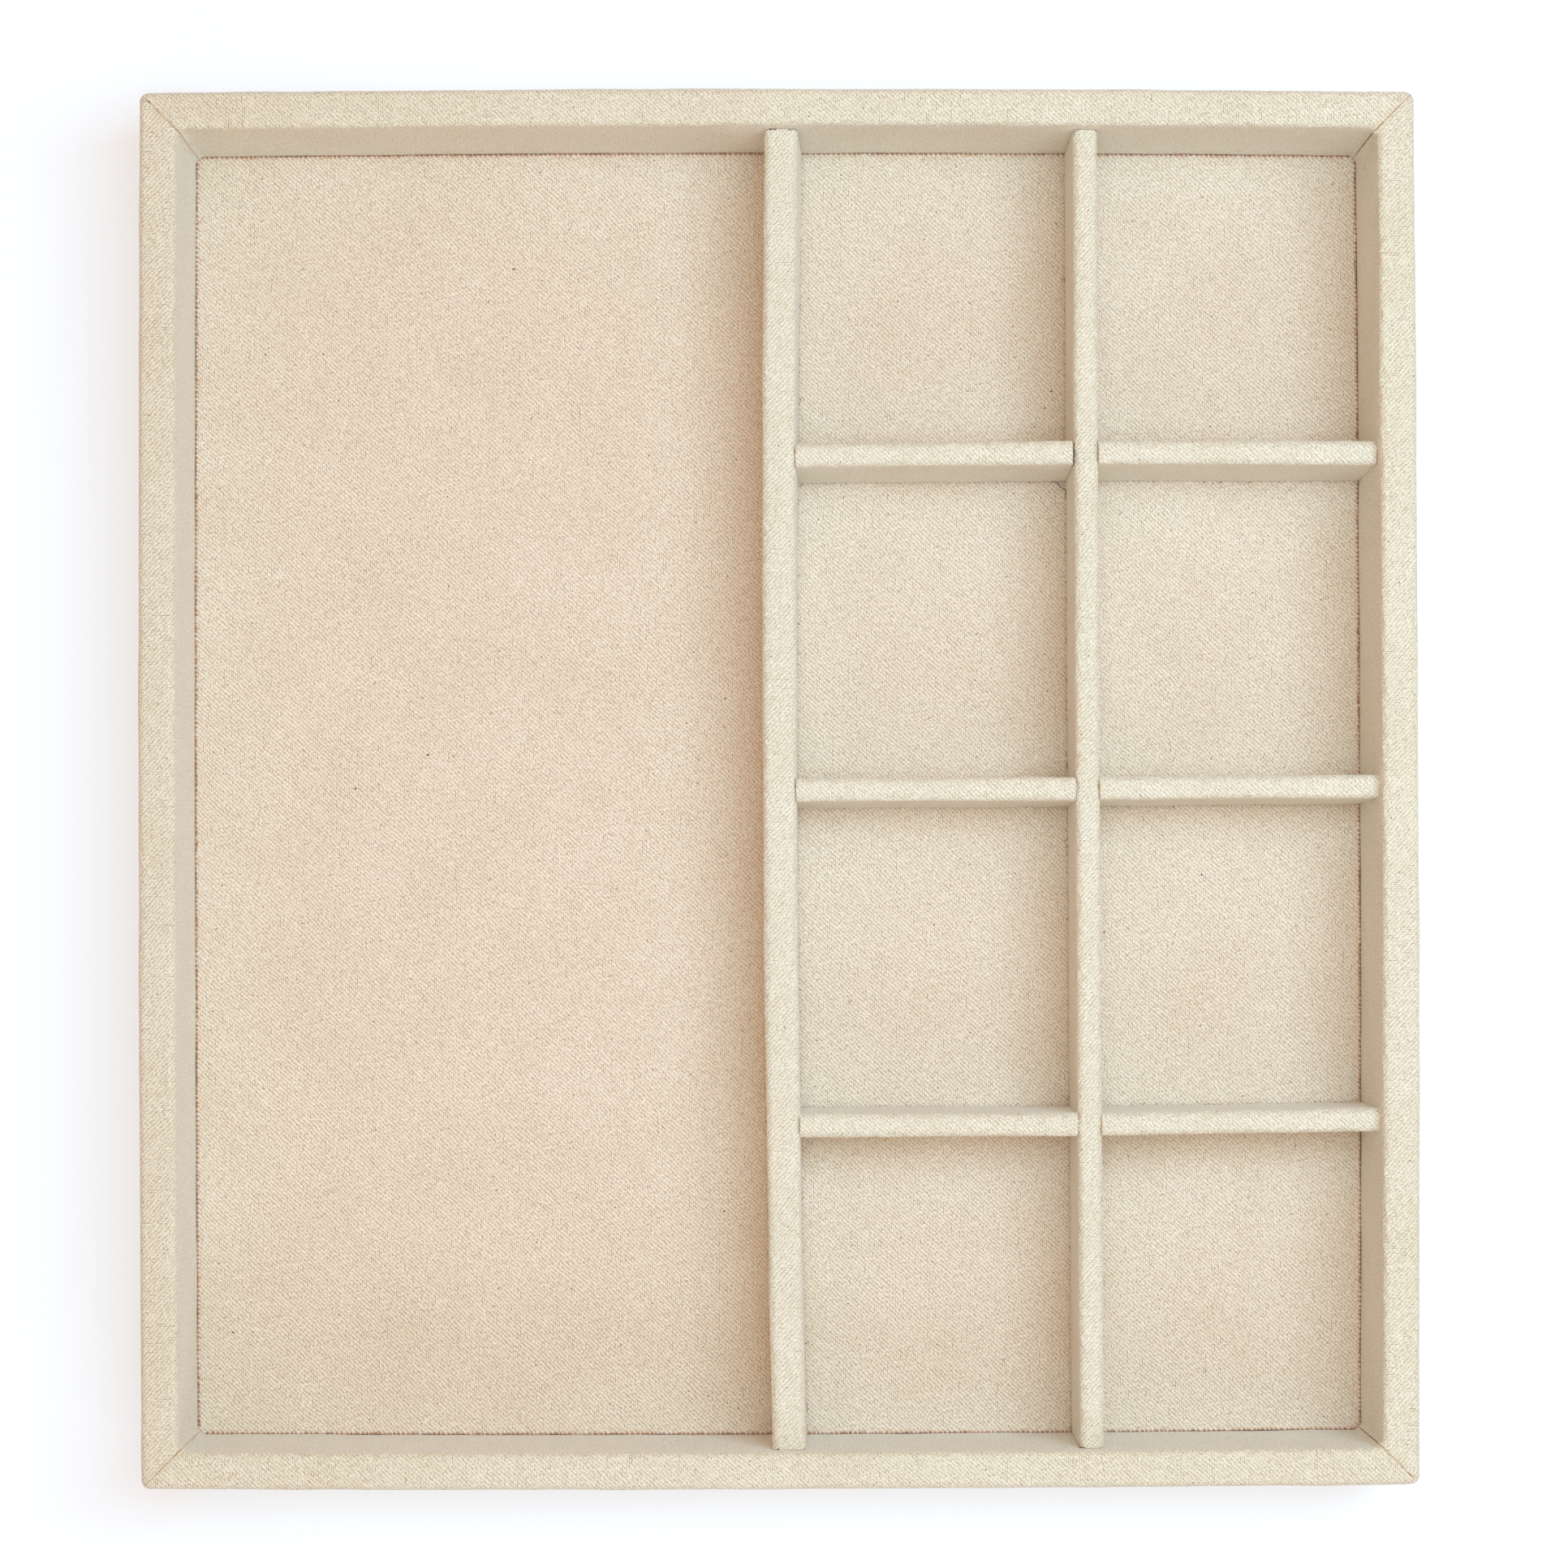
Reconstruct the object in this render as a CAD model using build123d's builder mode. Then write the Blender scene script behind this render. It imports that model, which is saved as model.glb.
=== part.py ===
from build123d import *
import os

# A shallow tray of canvas-covered boards, in millimetres. It stands on its underside with its
# origin at the middle of that face: +X to the right, +Y to the back, +Z up.

# Overall size
tray_width = 280.0
tray_depth = 306.0
tray_height = 38.0

# Cloth and glue
canvas_thickness = 0.65
glue_line = 0.05
felt_thickness = 1.0
felt_inset = 1.5
felt_corner_radius = 3.0
hem_width = 12.0
mitre_seam = 0.1
wrap_seam = 1.0

# Boards
wall_board_thickness = 6.6
base_board_thickness = 3.0
floor_card_thickness = 2.0
wide_board_thickness = 6.0
narrow_board_thickness = 4.0
cross_board_thickness = 3.8

# Roundings of the boards, which the canvas follows on the outside
wall_corner_radius = 1.3
wall_edge_radius = 0.8
floor_corner_radius = 0.8
floor_edge_radius = 0.5
divider_edge_radius = 1.2
divider_foot_radius = 0.2

# Layout of the compartments
divider_drop = 4.5
main_compartment_width = 129.1
cell_rows = 4
floor_gap = 0.4
end_gap = 0.3

# Brads
brad_radius = 0.6
brad_length = 16.0
brad_point_length = 1.8
brad_head_radius = 1.0
brad_head_height = 0.7
brad_clearance = 0.05
brad_spacing = 12.0
brads_per_corner = 2
brads_per_wall = 4

# How far a cutting solid runs past what it cuts
overrun = 2.0

# Worked out from the sizes above: the build-up from the underside to the rim
skin = canvas_thickness + glue_line
rail_width = wall_board_thickness + 2 * skin
hem_bottom = felt_thickness + glue_line
hem_top = hem_bottom + canvas_thickness
base_bottom = hem_top + glue_line
base_top = base_bottom + base_board_thickness
wall_bottom = base_top + glue_line
wall_top = tray_height - skin
card_top = wall_bottom + floor_card_thickness
floor_top = card_top + skin
divider_foot = floor_top + glue_line
divider_top = tray_height - divider_drop

# Worked out from the sizes above: the plan
inner_width = tray_width - 2 * rail_width
inner_depth = tray_depth - 2 * rail_width
wide_divider_width = wide_board_thickness + 2 * skin
narrow_divider_width = narrow_board_thickness + 2 * skin
cross_divider_width = cross_board_thickness + 2 * skin
cell_width = (inner_width - main_compartment_width - wide_divider_width - narrow_divider_width) / 2
cell_depth = (inner_depth - (cell_rows - 1) * cross_divider_width) / cell_rows
wide_divider_left = main_compartment_width - inner_width / 2
middle_column_left = wide_divider_left + wide_divider_width
narrow_divider_left = middle_column_left + cell_width
right_column_left = narrow_divider_left + narrow_divider_width
brad_line = skin + wall_board_thickness / 2
first_base_brad = skin + brad_length + brad_spacing

# A seam that runs at 45 degrees is this much wider along the wall than across itself
mitre_slant = 2 ** 0.5

# The four sides: outward direction, direction along the wall, half size outward, half size along
sides = {
    "front": (Vector(0, -1), Vector(1, 0), tray_depth / 2, tray_width / 2),
    "back": (Vector(0, 1), Vector(-1, 0), tray_depth / 2, tray_width / 2),
    "left": (Vector(-1, 0), Vector(0, -1), tray_width / 2, tray_depth / 2),
    "right": (Vector(1, 0), Vector(0, 1), tray_width / 2, tray_depth / 2),
}
columns = {"middle": middle_column_left, "right": right_column_left}

os.makedirs("parts", exist_ok=True)


def save(piece, name):
    """Labels a finished piece and writes it under that name."""
    piece.label = name
    export_step(piece, f"parts/{name}.step")


def wall_ring(inset, width, low, high, corner_radius, edge_radius):
    """A frame that follows all four walls, that far in from the outside, its rim rounded."""
    hole_inset = inset + width
    with BuildPart() as ring:
        with BuildSketch(Plane.XY.offset(low)):
            RectangleRounded(tray_width - 2 * inset, tray_depth - 2 * inset, corner_radius)
            Rectangle(
                tray_width - 2 * hole_inset, tray_depth - 2 * hole_inset, mode=Mode.SUBTRACT
            )
        extrude(amount=high - low)
        fillet(ring.edges().group_by(Axis.Z)[-1], edge_radius)
    return ring.part


def mitre_corners(side, seam):
    """The plan of one side's share of the frame, cut at 45 degrees at both of its ends."""
    outward, along, half_out, half_along = sides[side]
    half_seam = seam * mitre_slant / 2
    inward = -hem_width - overrun
    points = []
    for end, past in ((-1, overrun), (1, overrun), (1, inward), (-1, inward)):
        points.append(outward * (half_out + past) + along * end * (half_along + past - half_seam))
    return points


def brad_solid(grow, above):
    """A brad that points down from the origin, or with grow the hole that it leaves."""
    with BuildPart() as brad:
        with BuildSketch(Plane.XZ):
            with BuildLine():
                Polyline(
                    (0, above),
                    (brad_head_radius + grow, above),
                    (brad_head_radius + grow, -brad_head_height - grow),
                    (brad_radius + grow, -brad_head_height - grow),
                    (brad_radius + grow, brad_point_length - brad_length - grow),
                    (0, -brad_length - 2 * grow),
                    close=True,
                )
            make_face()
        revolve(axis=Axis.Z)
    return brad.part


def divider_bar(start, width, low, high, edge_radius, foot_radius, length):
    """A straight bar with a divider's cross-section, from the start plane along its normal."""
    with BuildPart() as bar:
        with BuildSketch(start) as section:
            with Locations((0, (low + high) / 2)):
                Rectangle(width, high - low)
            fillet(section.vertices().group_by(Axis.Y)[-1], edge_radius)
            fillet(section.vertices().group_by(Axis.Y)[0], foot_radius)
        extrude(amount=length)
    return bar.part


def build_divider(name, start, board_thickness, length):
    """A divider's board, and its canvas: wrapped round it and over its ends, seamed along its foot."""
    board_low = divider_foot + skin
    board_high = divider_top - skin

    with BuildPart() as board:
        add(divider_bar(
            start.offset(skin), board_thickness, board_low, board_high,
            divider_edge_radius, divider_foot_radius, length - 2 * skin,
        ))
    save(board.part, f"{name}_board")

    with BuildPart() as canvas:
        add(divider_bar(
            start, board_thickness + 2 * skin, divider_foot, divider_top,
            divider_edge_radius + skin, divider_foot_radius + skin, length,
        ))
        ends = canvas.faces().filter_by(Plane(start.origin, z_dir=start.z_dir))
        fillet(ends.edges(), skin)
        add(divider_bar(
            start.offset(canvas_thickness), board_thickness + 2 * glue_line,
            board_low - glue_line, board_high + glue_line,
            divider_edge_radius + glue_line, divider_foot_radius + glue_line,
            length - 2 * canvas_thickness,
        ), mode=Mode.SUBTRACT)
        with BuildSketch(start.offset(-overrun)):
            with Locations((0, divider_foot)):
                Rectangle(wrap_seam, 2 * skin)
        extrude(amount=length + 2 * overrun, mode=Mode.SUBTRACT)
    save(canvas.part, f"{name}_canvas")


# Brads and where they go: across the mitres from the side walls, and up through the base board
brad = brad_solid(0, 0)
brad_hole = brad_solid(brad_clearance, overrun)
corner_brad_x = tray_width / 2 - skin
corner_brad_y = tray_depth / 2 - brad_line
corner_brad_step = (wall_top - wall_bottom) / (brads_per_corner + 1)
corner_brad_places = [
    Location((x * corner_brad_x, y * corner_brad_y, wall_bottom + n * corner_brad_step), (0, x * 90, 0))
    for x in (-1, 1)
    for y in (-1, 1)
    for n in range(1, brads_per_corner + 1)
]
base_brad_places = []
for outward, along, half_out, half_along in sides.values():
    reach = half_along - first_base_brad
    step = 2 * reach / (brads_per_wall - 1)
    for n in range(brads_per_wall):
        place = outward * (half_out - brad_line) + along * (n * step - reach)
        base_brad_places.append(Location((place.X, place.Y, base_bottom), (180, 0, 0)))

with BuildPart() as corner_brads:
    with Locations(*corner_brad_places):
        add(brad)
save(corner_brads.part, "corner_brads")

with BuildPart() as base_brads:
    with Locations(*base_brad_places):
        add(brad)
save(base_brads.part, "base_brads")

# Felt sheet that covers the canvas hems and is the face the tray rests on
with BuildPart() as underside_felt:
    with BuildSketch(Plane.XY):
        RectangleRounded(tray_width - 2 * felt_inset, tray_depth - 2 * felt_inset, felt_corner_radius)
    extrude(amount=felt_thickness)
save(underside_felt.part, "underside_felt")

# Base board that carries the walls and the floor
with BuildPart() as base_board:
    with BuildSketch(Plane.XY.offset(base_bottom)):
        RectangleRounded(tray_width - 2 * skin, tray_depth - 2 * skin, wall_corner_radius)
    extrude(amount=base_board_thickness)
    with Locations(*base_brad_places):
        add(brad_hole, mode=Mode.SUBTRACT)
save(base_board.part, "base_board")

# Wall boards, and the canvas that goes up their outside, over the rim and down their inside.
# Its lower edge is turned under the base board as a hem.
board_ring = wall_ring(
    skin, wall_board_thickness, wall_bottom, wall_top, wall_corner_radius, wall_edge_radius
)
board_space = wall_ring(
    canvas_thickness, wall_board_thickness + 2 * glue_line, hem_top, wall_top + glue_line,
    wall_corner_radius + glue_line, wall_edge_radius + glue_line,
)
with BuildPart() as canvas_ring:
    add(wall_ring(
        0, rail_width, hem_bottom, tray_height, wall_corner_radius + skin, wall_edge_radius + skin
    ))
    with BuildSketch(Plane.XY.offset(hem_bottom)):
        RectangleRounded(tray_width, tray_depth, wall_corner_radius + skin)
        Rectangle(tray_width - 2 * hem_width, tray_depth - 2 * hem_width, mode=Mode.SUBTRACT)
    extrude(amount=canvas_thickness)
    fillet(canvas_ring.faces().sort_by(Axis.Z)[0].outer_wire().edges(), skin)
    add(board_space, mode=Mode.SUBTRACT)
    with BuildSketch(Plane.XY.offset(hem_top)):
        Rectangle(inner_width + overrun, inner_depth + overrun)
    extrude(amount=wall_bottom - hem_top, mode=Mode.SUBTRACT)

for side in sides:
    with BuildPart() as wall_board:
        add(board_ring)
        with BuildSketch(Plane.XY):
            with BuildLine():
                Polyline(*mitre_corners(side, glue_line), close=True)
            make_face()
        extrude(amount=tray_height + overrun, mode=Mode.INTERSECT)
        with Locations(*corner_brad_places, *base_brad_places):
            add(brad_hole, mode=Mode.SUBTRACT)
    save(wall_board.part, f"{side}_wall_board")

    with BuildPart() as wall_canvas:
        add(canvas_ring.part)
        with BuildSketch(Plane.XY):
            with BuildLine():
                Polyline(*mitre_corners(side, mitre_seam), close=True)
            make_face()
        extrude(amount=tray_height + overrun, mode=Mode.INTERSECT)
    save(wall_canvas.part, f"{side}_wall_canvas")

# Floor card, and the canvas over its top and down its edges
card_inset = floor_gap + skin
with BuildPart() as floor_card:
    with BuildSketch(Plane.XY.offset(wall_bottom)):
        RectangleRounded(inner_width - 2 * card_inset, inner_depth - 2 * card_inset, floor_corner_radius)
    extrude(amount=floor_card_thickness)
    fillet(floor_card.edges().group_by(Axis.Z)[-1], floor_edge_radius)
save(floor_card.part, "floor_card")

card_space_inset = card_inset - glue_line
with BuildPart() as card_space:
    with BuildSketch(Plane.XY.offset(wall_bottom - overrun)):
        RectangleRounded(
            inner_width - 2 * card_space_inset, inner_depth - 2 * card_space_inset,
            floor_corner_radius + glue_line,
        )
    extrude(amount=floor_card_thickness + glue_line + overrun)
    fillet(card_space.edges().group_by(Axis.Z)[-1], floor_edge_radius + glue_line)

with BuildPart() as floor_canvas:
    with BuildSketch(Plane.XY.offset(wall_bottom)):
        RectangleRounded(
            inner_width - 2 * floor_gap, inner_depth - 2 * floor_gap, floor_corner_radius + skin
        )
    extrude(amount=floor_top - wall_bottom)
    fillet(floor_canvas.edges().group_by(Axis.Z)[-1], floor_edge_radius + skin)
    add(card_space.part, mode=Mode.SUBTRACT)
save(floor_canvas.part, "floor_canvas")

# Long dividers, from the front wall to the back wall
back_end = Plane.XZ.offset(end_gap - inner_depth / 2)
for name, left, board_thickness in (
    ("wide_divider", wide_divider_left, wide_board_thickness),
    ("narrow_divider", narrow_divider_left, narrow_board_thickness),
):
    centre = left + skin + board_thickness / 2
    start = Plane(back_end.origin + Vector(centre, 0, 0), x_dir=back_end.x_dir, z_dir=back_end.z_dir)
    build_divider(name, start, board_thickness, inner_depth - 2 * end_gap)

# Cross dividers, row by row in both columns
for column, left in columns.items():
    for row in range(1, cell_rows):
        centre = row * (cell_depth + cross_divider_width) - cross_divider_width / 2 - inner_depth / 2
        start = Plane(Vector(left + end_gap, centre, 0), x_dir=Plane.YZ.x_dir, z_dir=Plane.YZ.z_dir)
        build_divider(f"{column}_cross_{row}", start, cross_board_thickness, cell_width - 2 * end_gap)
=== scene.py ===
import math
import random

import bpy
import numpy as np
from mathutils import Euler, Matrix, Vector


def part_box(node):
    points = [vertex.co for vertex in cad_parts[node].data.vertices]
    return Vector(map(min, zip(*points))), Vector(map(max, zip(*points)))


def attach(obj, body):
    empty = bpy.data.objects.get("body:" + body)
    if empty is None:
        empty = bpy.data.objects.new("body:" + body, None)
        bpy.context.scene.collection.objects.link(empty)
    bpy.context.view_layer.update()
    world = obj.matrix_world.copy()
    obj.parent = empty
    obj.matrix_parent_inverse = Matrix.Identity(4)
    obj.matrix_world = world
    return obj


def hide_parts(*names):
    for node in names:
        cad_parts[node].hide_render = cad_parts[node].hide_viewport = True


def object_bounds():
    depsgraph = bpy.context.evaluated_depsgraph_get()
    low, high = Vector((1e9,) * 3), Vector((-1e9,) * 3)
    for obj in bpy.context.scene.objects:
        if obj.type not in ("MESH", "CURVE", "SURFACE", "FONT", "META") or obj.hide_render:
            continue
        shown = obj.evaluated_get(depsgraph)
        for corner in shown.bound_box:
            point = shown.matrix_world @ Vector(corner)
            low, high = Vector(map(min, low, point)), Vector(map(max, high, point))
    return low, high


bl_info = {
    "name": "Canvas Jewelry Tray",
    "version": (1, 0, 0),
    "blender": (4, 5, 0),
    "location": "3D View > Sidebar > Jewelry Tray",
    "description": "Dresses the boards of a divided jewelry tray in woven cotton canvas",
    "category": "Object",
}

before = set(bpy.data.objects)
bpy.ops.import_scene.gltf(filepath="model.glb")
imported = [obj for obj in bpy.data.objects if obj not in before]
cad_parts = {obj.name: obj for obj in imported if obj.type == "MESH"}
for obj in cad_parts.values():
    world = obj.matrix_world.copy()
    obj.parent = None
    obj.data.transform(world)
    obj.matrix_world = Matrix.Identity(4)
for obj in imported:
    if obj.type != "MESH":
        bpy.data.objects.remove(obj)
CAD_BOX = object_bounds()

MM = 0.001
BODY = "root"

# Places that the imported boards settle, in metres
HIGHEST = CAD_BOX[1]
RIM_HEIGHT = HIGHEST.z
HEM_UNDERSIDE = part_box("front_wall_canvas")[0].z
WALL_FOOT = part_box("floor_card")[0].z
FLOOR_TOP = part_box("floor_canvas")[1].z


def rail_width():
    """Width of the rim from the outside of the canvas to the inside."""
    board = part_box("left_wall_board")
    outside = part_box("left_wall_canvas")[0].x
    return board[1].x - outside + (board[0].x - outside)


RAIL = rail_width()
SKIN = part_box("left_wall_board")[0].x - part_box("left_wall_canvas")[0].x


# Settings that a user would change

def length_setting(name, description, default, low, high):
    """A setting that is a length, given in millimetres."""
    return bpy.props.FloatProperty(
        name=name, description=description, default=default * MM, min=low * MM, max=high * MM,
        unit="LENGTH", precision=5)


def colour_setting(name, description, default):
    """A setting that is an sRGB colour."""
    return bpy.props.FloatVectorProperty(
        name=name, description=description, default=default, size=3, subtype="COLOR_GAMMA", min=0, max=1)


def power_setting(name, description, default):
    """A setting that is a lamp's power, in watts."""
    return bpy.props.FloatProperty(
        name=name, description=description, default=default, min=0, max=100, unit="POWER")


class CanvasSettings(bpy.types.PropertyGroup):
    """The cotton canvas that covers the tray."""

    thickness: length_setting("Thickness", "Thickness of the canvas", 0.65, 0.2, 1.5)
    warp_pitch: length_setting(
        "Warp pitch", "Distance from one lengthwise thread to the next", 0.476, 0.1, 3)
    weft_pitch: length_setting(
        "Weft pitch", "Distance from one crosswise thread to the next", 0.520, 0.1, 3)
    skew: bpy.props.FloatProperty(
        name="Skew", description="How far the weft has been pulled out of square",
        default=math.radians(9), subtype="ANGLE")
    unevenness: length_setting(
        "Unevenness", "Height of the soft waves that the glue leaves in the cloth", 0.09, 0, 1)
    yarn: colour_setting("Yarn", "Colour of a thread's crown on the walls", (0.992, 0.974, 0.907))
    hollow: colour_setting(
        "Hollow", "Colour between the threads on the walls", (0.838, 0.798, 0.676))
    divider_yarn: colour_setting(
        "Divider yarn", "Colour of a thread's crown on the dividers", (0.995, 0.982, 0.922))
    divider_hollow: colour_setting(
        "Divider hollow", "Colour between the threads on the dividers", (0.848, 0.808, 0.692))
    floor_yarn: colour_setting(
        "Floor yarn", "Colour of a thread's crown on the floor", (1.000, 0.966, 0.904))
    floor_hollow: colour_setting(
        "Floor hollow", "Colour between the threads on the floor", (0.870, 0.776, 0.655))


class TraySettings(bpy.types.PropertyGroup):
    """How the canvas lies over the boards."""

    rim_radius: length_setting(
        "Rim rounding", "Rounding of the canvas over the top edges of a wall", 1.5, 0.8, 3)
    corner_radius: length_setting(
        "Corner rounding", "Rounding of the tray's upright corners, seen from above", 2.0, 0.5, 5)
    bottom_radius: length_setting(
        "Bottom rounding", "Rounding of the canvas where it turns under the tray", 0.7, 0.66, 2)
    hem: length_setting("Hem", "Width of canvas glued under the base board", 12, 4, 20)
    bow: length_setting(
        "Bow", "How far the middle of the back wall stands outwards of its ends", 0.80, 0, 2)
    seam_dip: length_setting("Seam dip", "How deep the canvas sinks at a mitre", 0.06, 0, 0.6)
    corner_fill: length_setting(
        "Corner fill", "Width over which the canvas rounds an inner corner", 2.0, 0, 4)
    divider_rounding: length_setting(
        "Divider rounding", "Rounding of the canvas over the top of a divider", 1.7, 0.8, 2.4)
    floor_rounding: length_setting(
        "Floor rounding", "Rounding of the floor canvas at the edge of its card", 0.25, 0.1, 2)
    floor_corner: length_setting(
        "Floor corner", "Rounding of the floor canvas's corners, seen from above", 0.3, 0, 6)
    ruffle: length_setting(
        "Ruffle", "How far single threads stand out where the canvas turns over an edge", 0.18, 0, 0.5)


class StageSettings(bpy.types.PropertyGroup):
    """The studio floor, the lamps and the camera."""

    lens: bpy.props.FloatProperty(
        name="Lens", description="Focal length of the camera, in millimetres", default=85.6,
        min=20, max=200, unit="CAMERA")
    camera_height: length_setting(
        "Camera height", "Height of the camera above the rim of the tray", 816.7, 300, 3000)
    key_power: power_setting("Key lamp", "Power of the soft lamp above and to the right", 3.98)
    low_power: power_setting("Low lamp", "Power of the lamp low in front", 0.85)
    sky: bpy.props.FloatProperty(
        name="Sky", description="Strength of the warm light from above the horizon", default=0.600,
        min=0, max=2)
    bounce: bpy.props.FloatProperty(
        name="Bounce", description="Strength of the cool light from below the horizon", default=0.90,
        min=0, max=2)


SETTINGS = {"tray_canvas": CanvasSettings, "tray_shape": TraySettings, "tray_stage": StageSettings}


# Materials

def linear(colour):
    """An sRGB colour, a hex code or three shares, as Blender's linear colour with alpha."""
    if isinstance(colour, str):
        code = colour.lstrip("#")
        colour = [int(code[k:k + 2], 16) / 255 for k in (0, 2, 4)]
    return (*[c / 12.92 if c <= 0.04045 else ((c + 0.055) / 1.055) ** 2.4 for c in colour], 1.0)


def add_node(tree, kind, inputs=None, **settings):
    """Adds a shader node. Each input is a value, a socket, or a node for its first output."""
    node = tree.nodes.new("ShaderNode" + kind)
    for name, value in settings.items():
        setattr(node, name, value)
    for key, value in (inputs or {}).items():
        if isinstance(value, bpy.types.Node):
            value = value.outputs[0]
        if isinstance(value, bpy.types.NodeSocket):
            tree.links.new(value, node.inputs[key])
        else:
            node.inputs[key].default_value = value
    return node


def new_material(name, roughness, **fixed):
    """A material with one Principled shader, whose fixed sockets are set directly."""
    material = bpy.data.materials.new(name)
    material.use_nodes = True
    tree = material.node_tree
    shader = tree.nodes["Principled BSDF"]
    shader.inputs["Roughness"].default_value = roughness
    for socket, value in fixed.items():
        shader.inputs[socket.replace("_", " ")].default_value = value
    return material, tree, shader


def maths(tree, operation, *values, **more):
    """A sum, product or the like of one to three values."""
    return add_node(tree, "Math", dict(enumerate(values)), operation=operation, **more)


def vectors(tree, operation, *values):
    """The same with vectors."""
    return add_node(tree, "VectorMath", dict(enumerate(values)), operation=operation)


def ranged(tree, value, start, end, low=0.0, high=1.0, **more):
    """A value between start and end, stretched from low to high and held there beyond its ends."""
    ends = {"Value": value, "From Min": start, "From Max": end, "To Min": low, "To Max": high}
    return add_node(tree, "MapRange", ends, **more).outputs["Result"]


def blended(tree, share, under, over, **more):
    """One colour laid over another by a share."""
    return add_node(tree, "Mix", {0: share, 6: under, 7: over}, data_type="RGBA", **more).outputs[2]


def flat_noise(tree, place, scale, detail):
    """Cloudy noise over the cloth."""
    inputs = {"Vector": place, "Scale": scale, "Detail": detail}
    return add_node(tree, "TexNoise", inputs, noise_dimensions="2D")


def solid_noise(tree, size, detail, **more):
    """Cloudy noise through the solid, by the size of its clouds in millimetres."""
    inputs = {"Vector": add_node(tree, "TexCoord").outputs["Object"], "Scale": 1 / (size * MM)}
    return add_node(tree, "TexNoise", {**inputs, "Detail": detail, **more})


def two_tones(tree, shader, pattern, low, deep, high, pale):
    """Colours the surface by a pattern: deep where it is low, pale where it is high."""
    tone = add_node(tree, "ValToRGB", {0: pattern})
    for element, position, shade in zip(tone.color_ramp.elements, (low, high), (deep, pale)):
        element.position = position
        element.color = linear(shade)
    tree.links.new(tone.outputs[0], shader.inputs["Base Color"])


def raised_by(tree, shader, pattern, height, **more):
    """Raises the surface's finest detail by a pattern, up to a height in millimetres."""
    bump = add_node(tree, "Bump", {"Height": pattern, "Distance": height * MM, **more})
    tree.links.new(bump.outputs[0], shader.inputs["Normal"])


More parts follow.
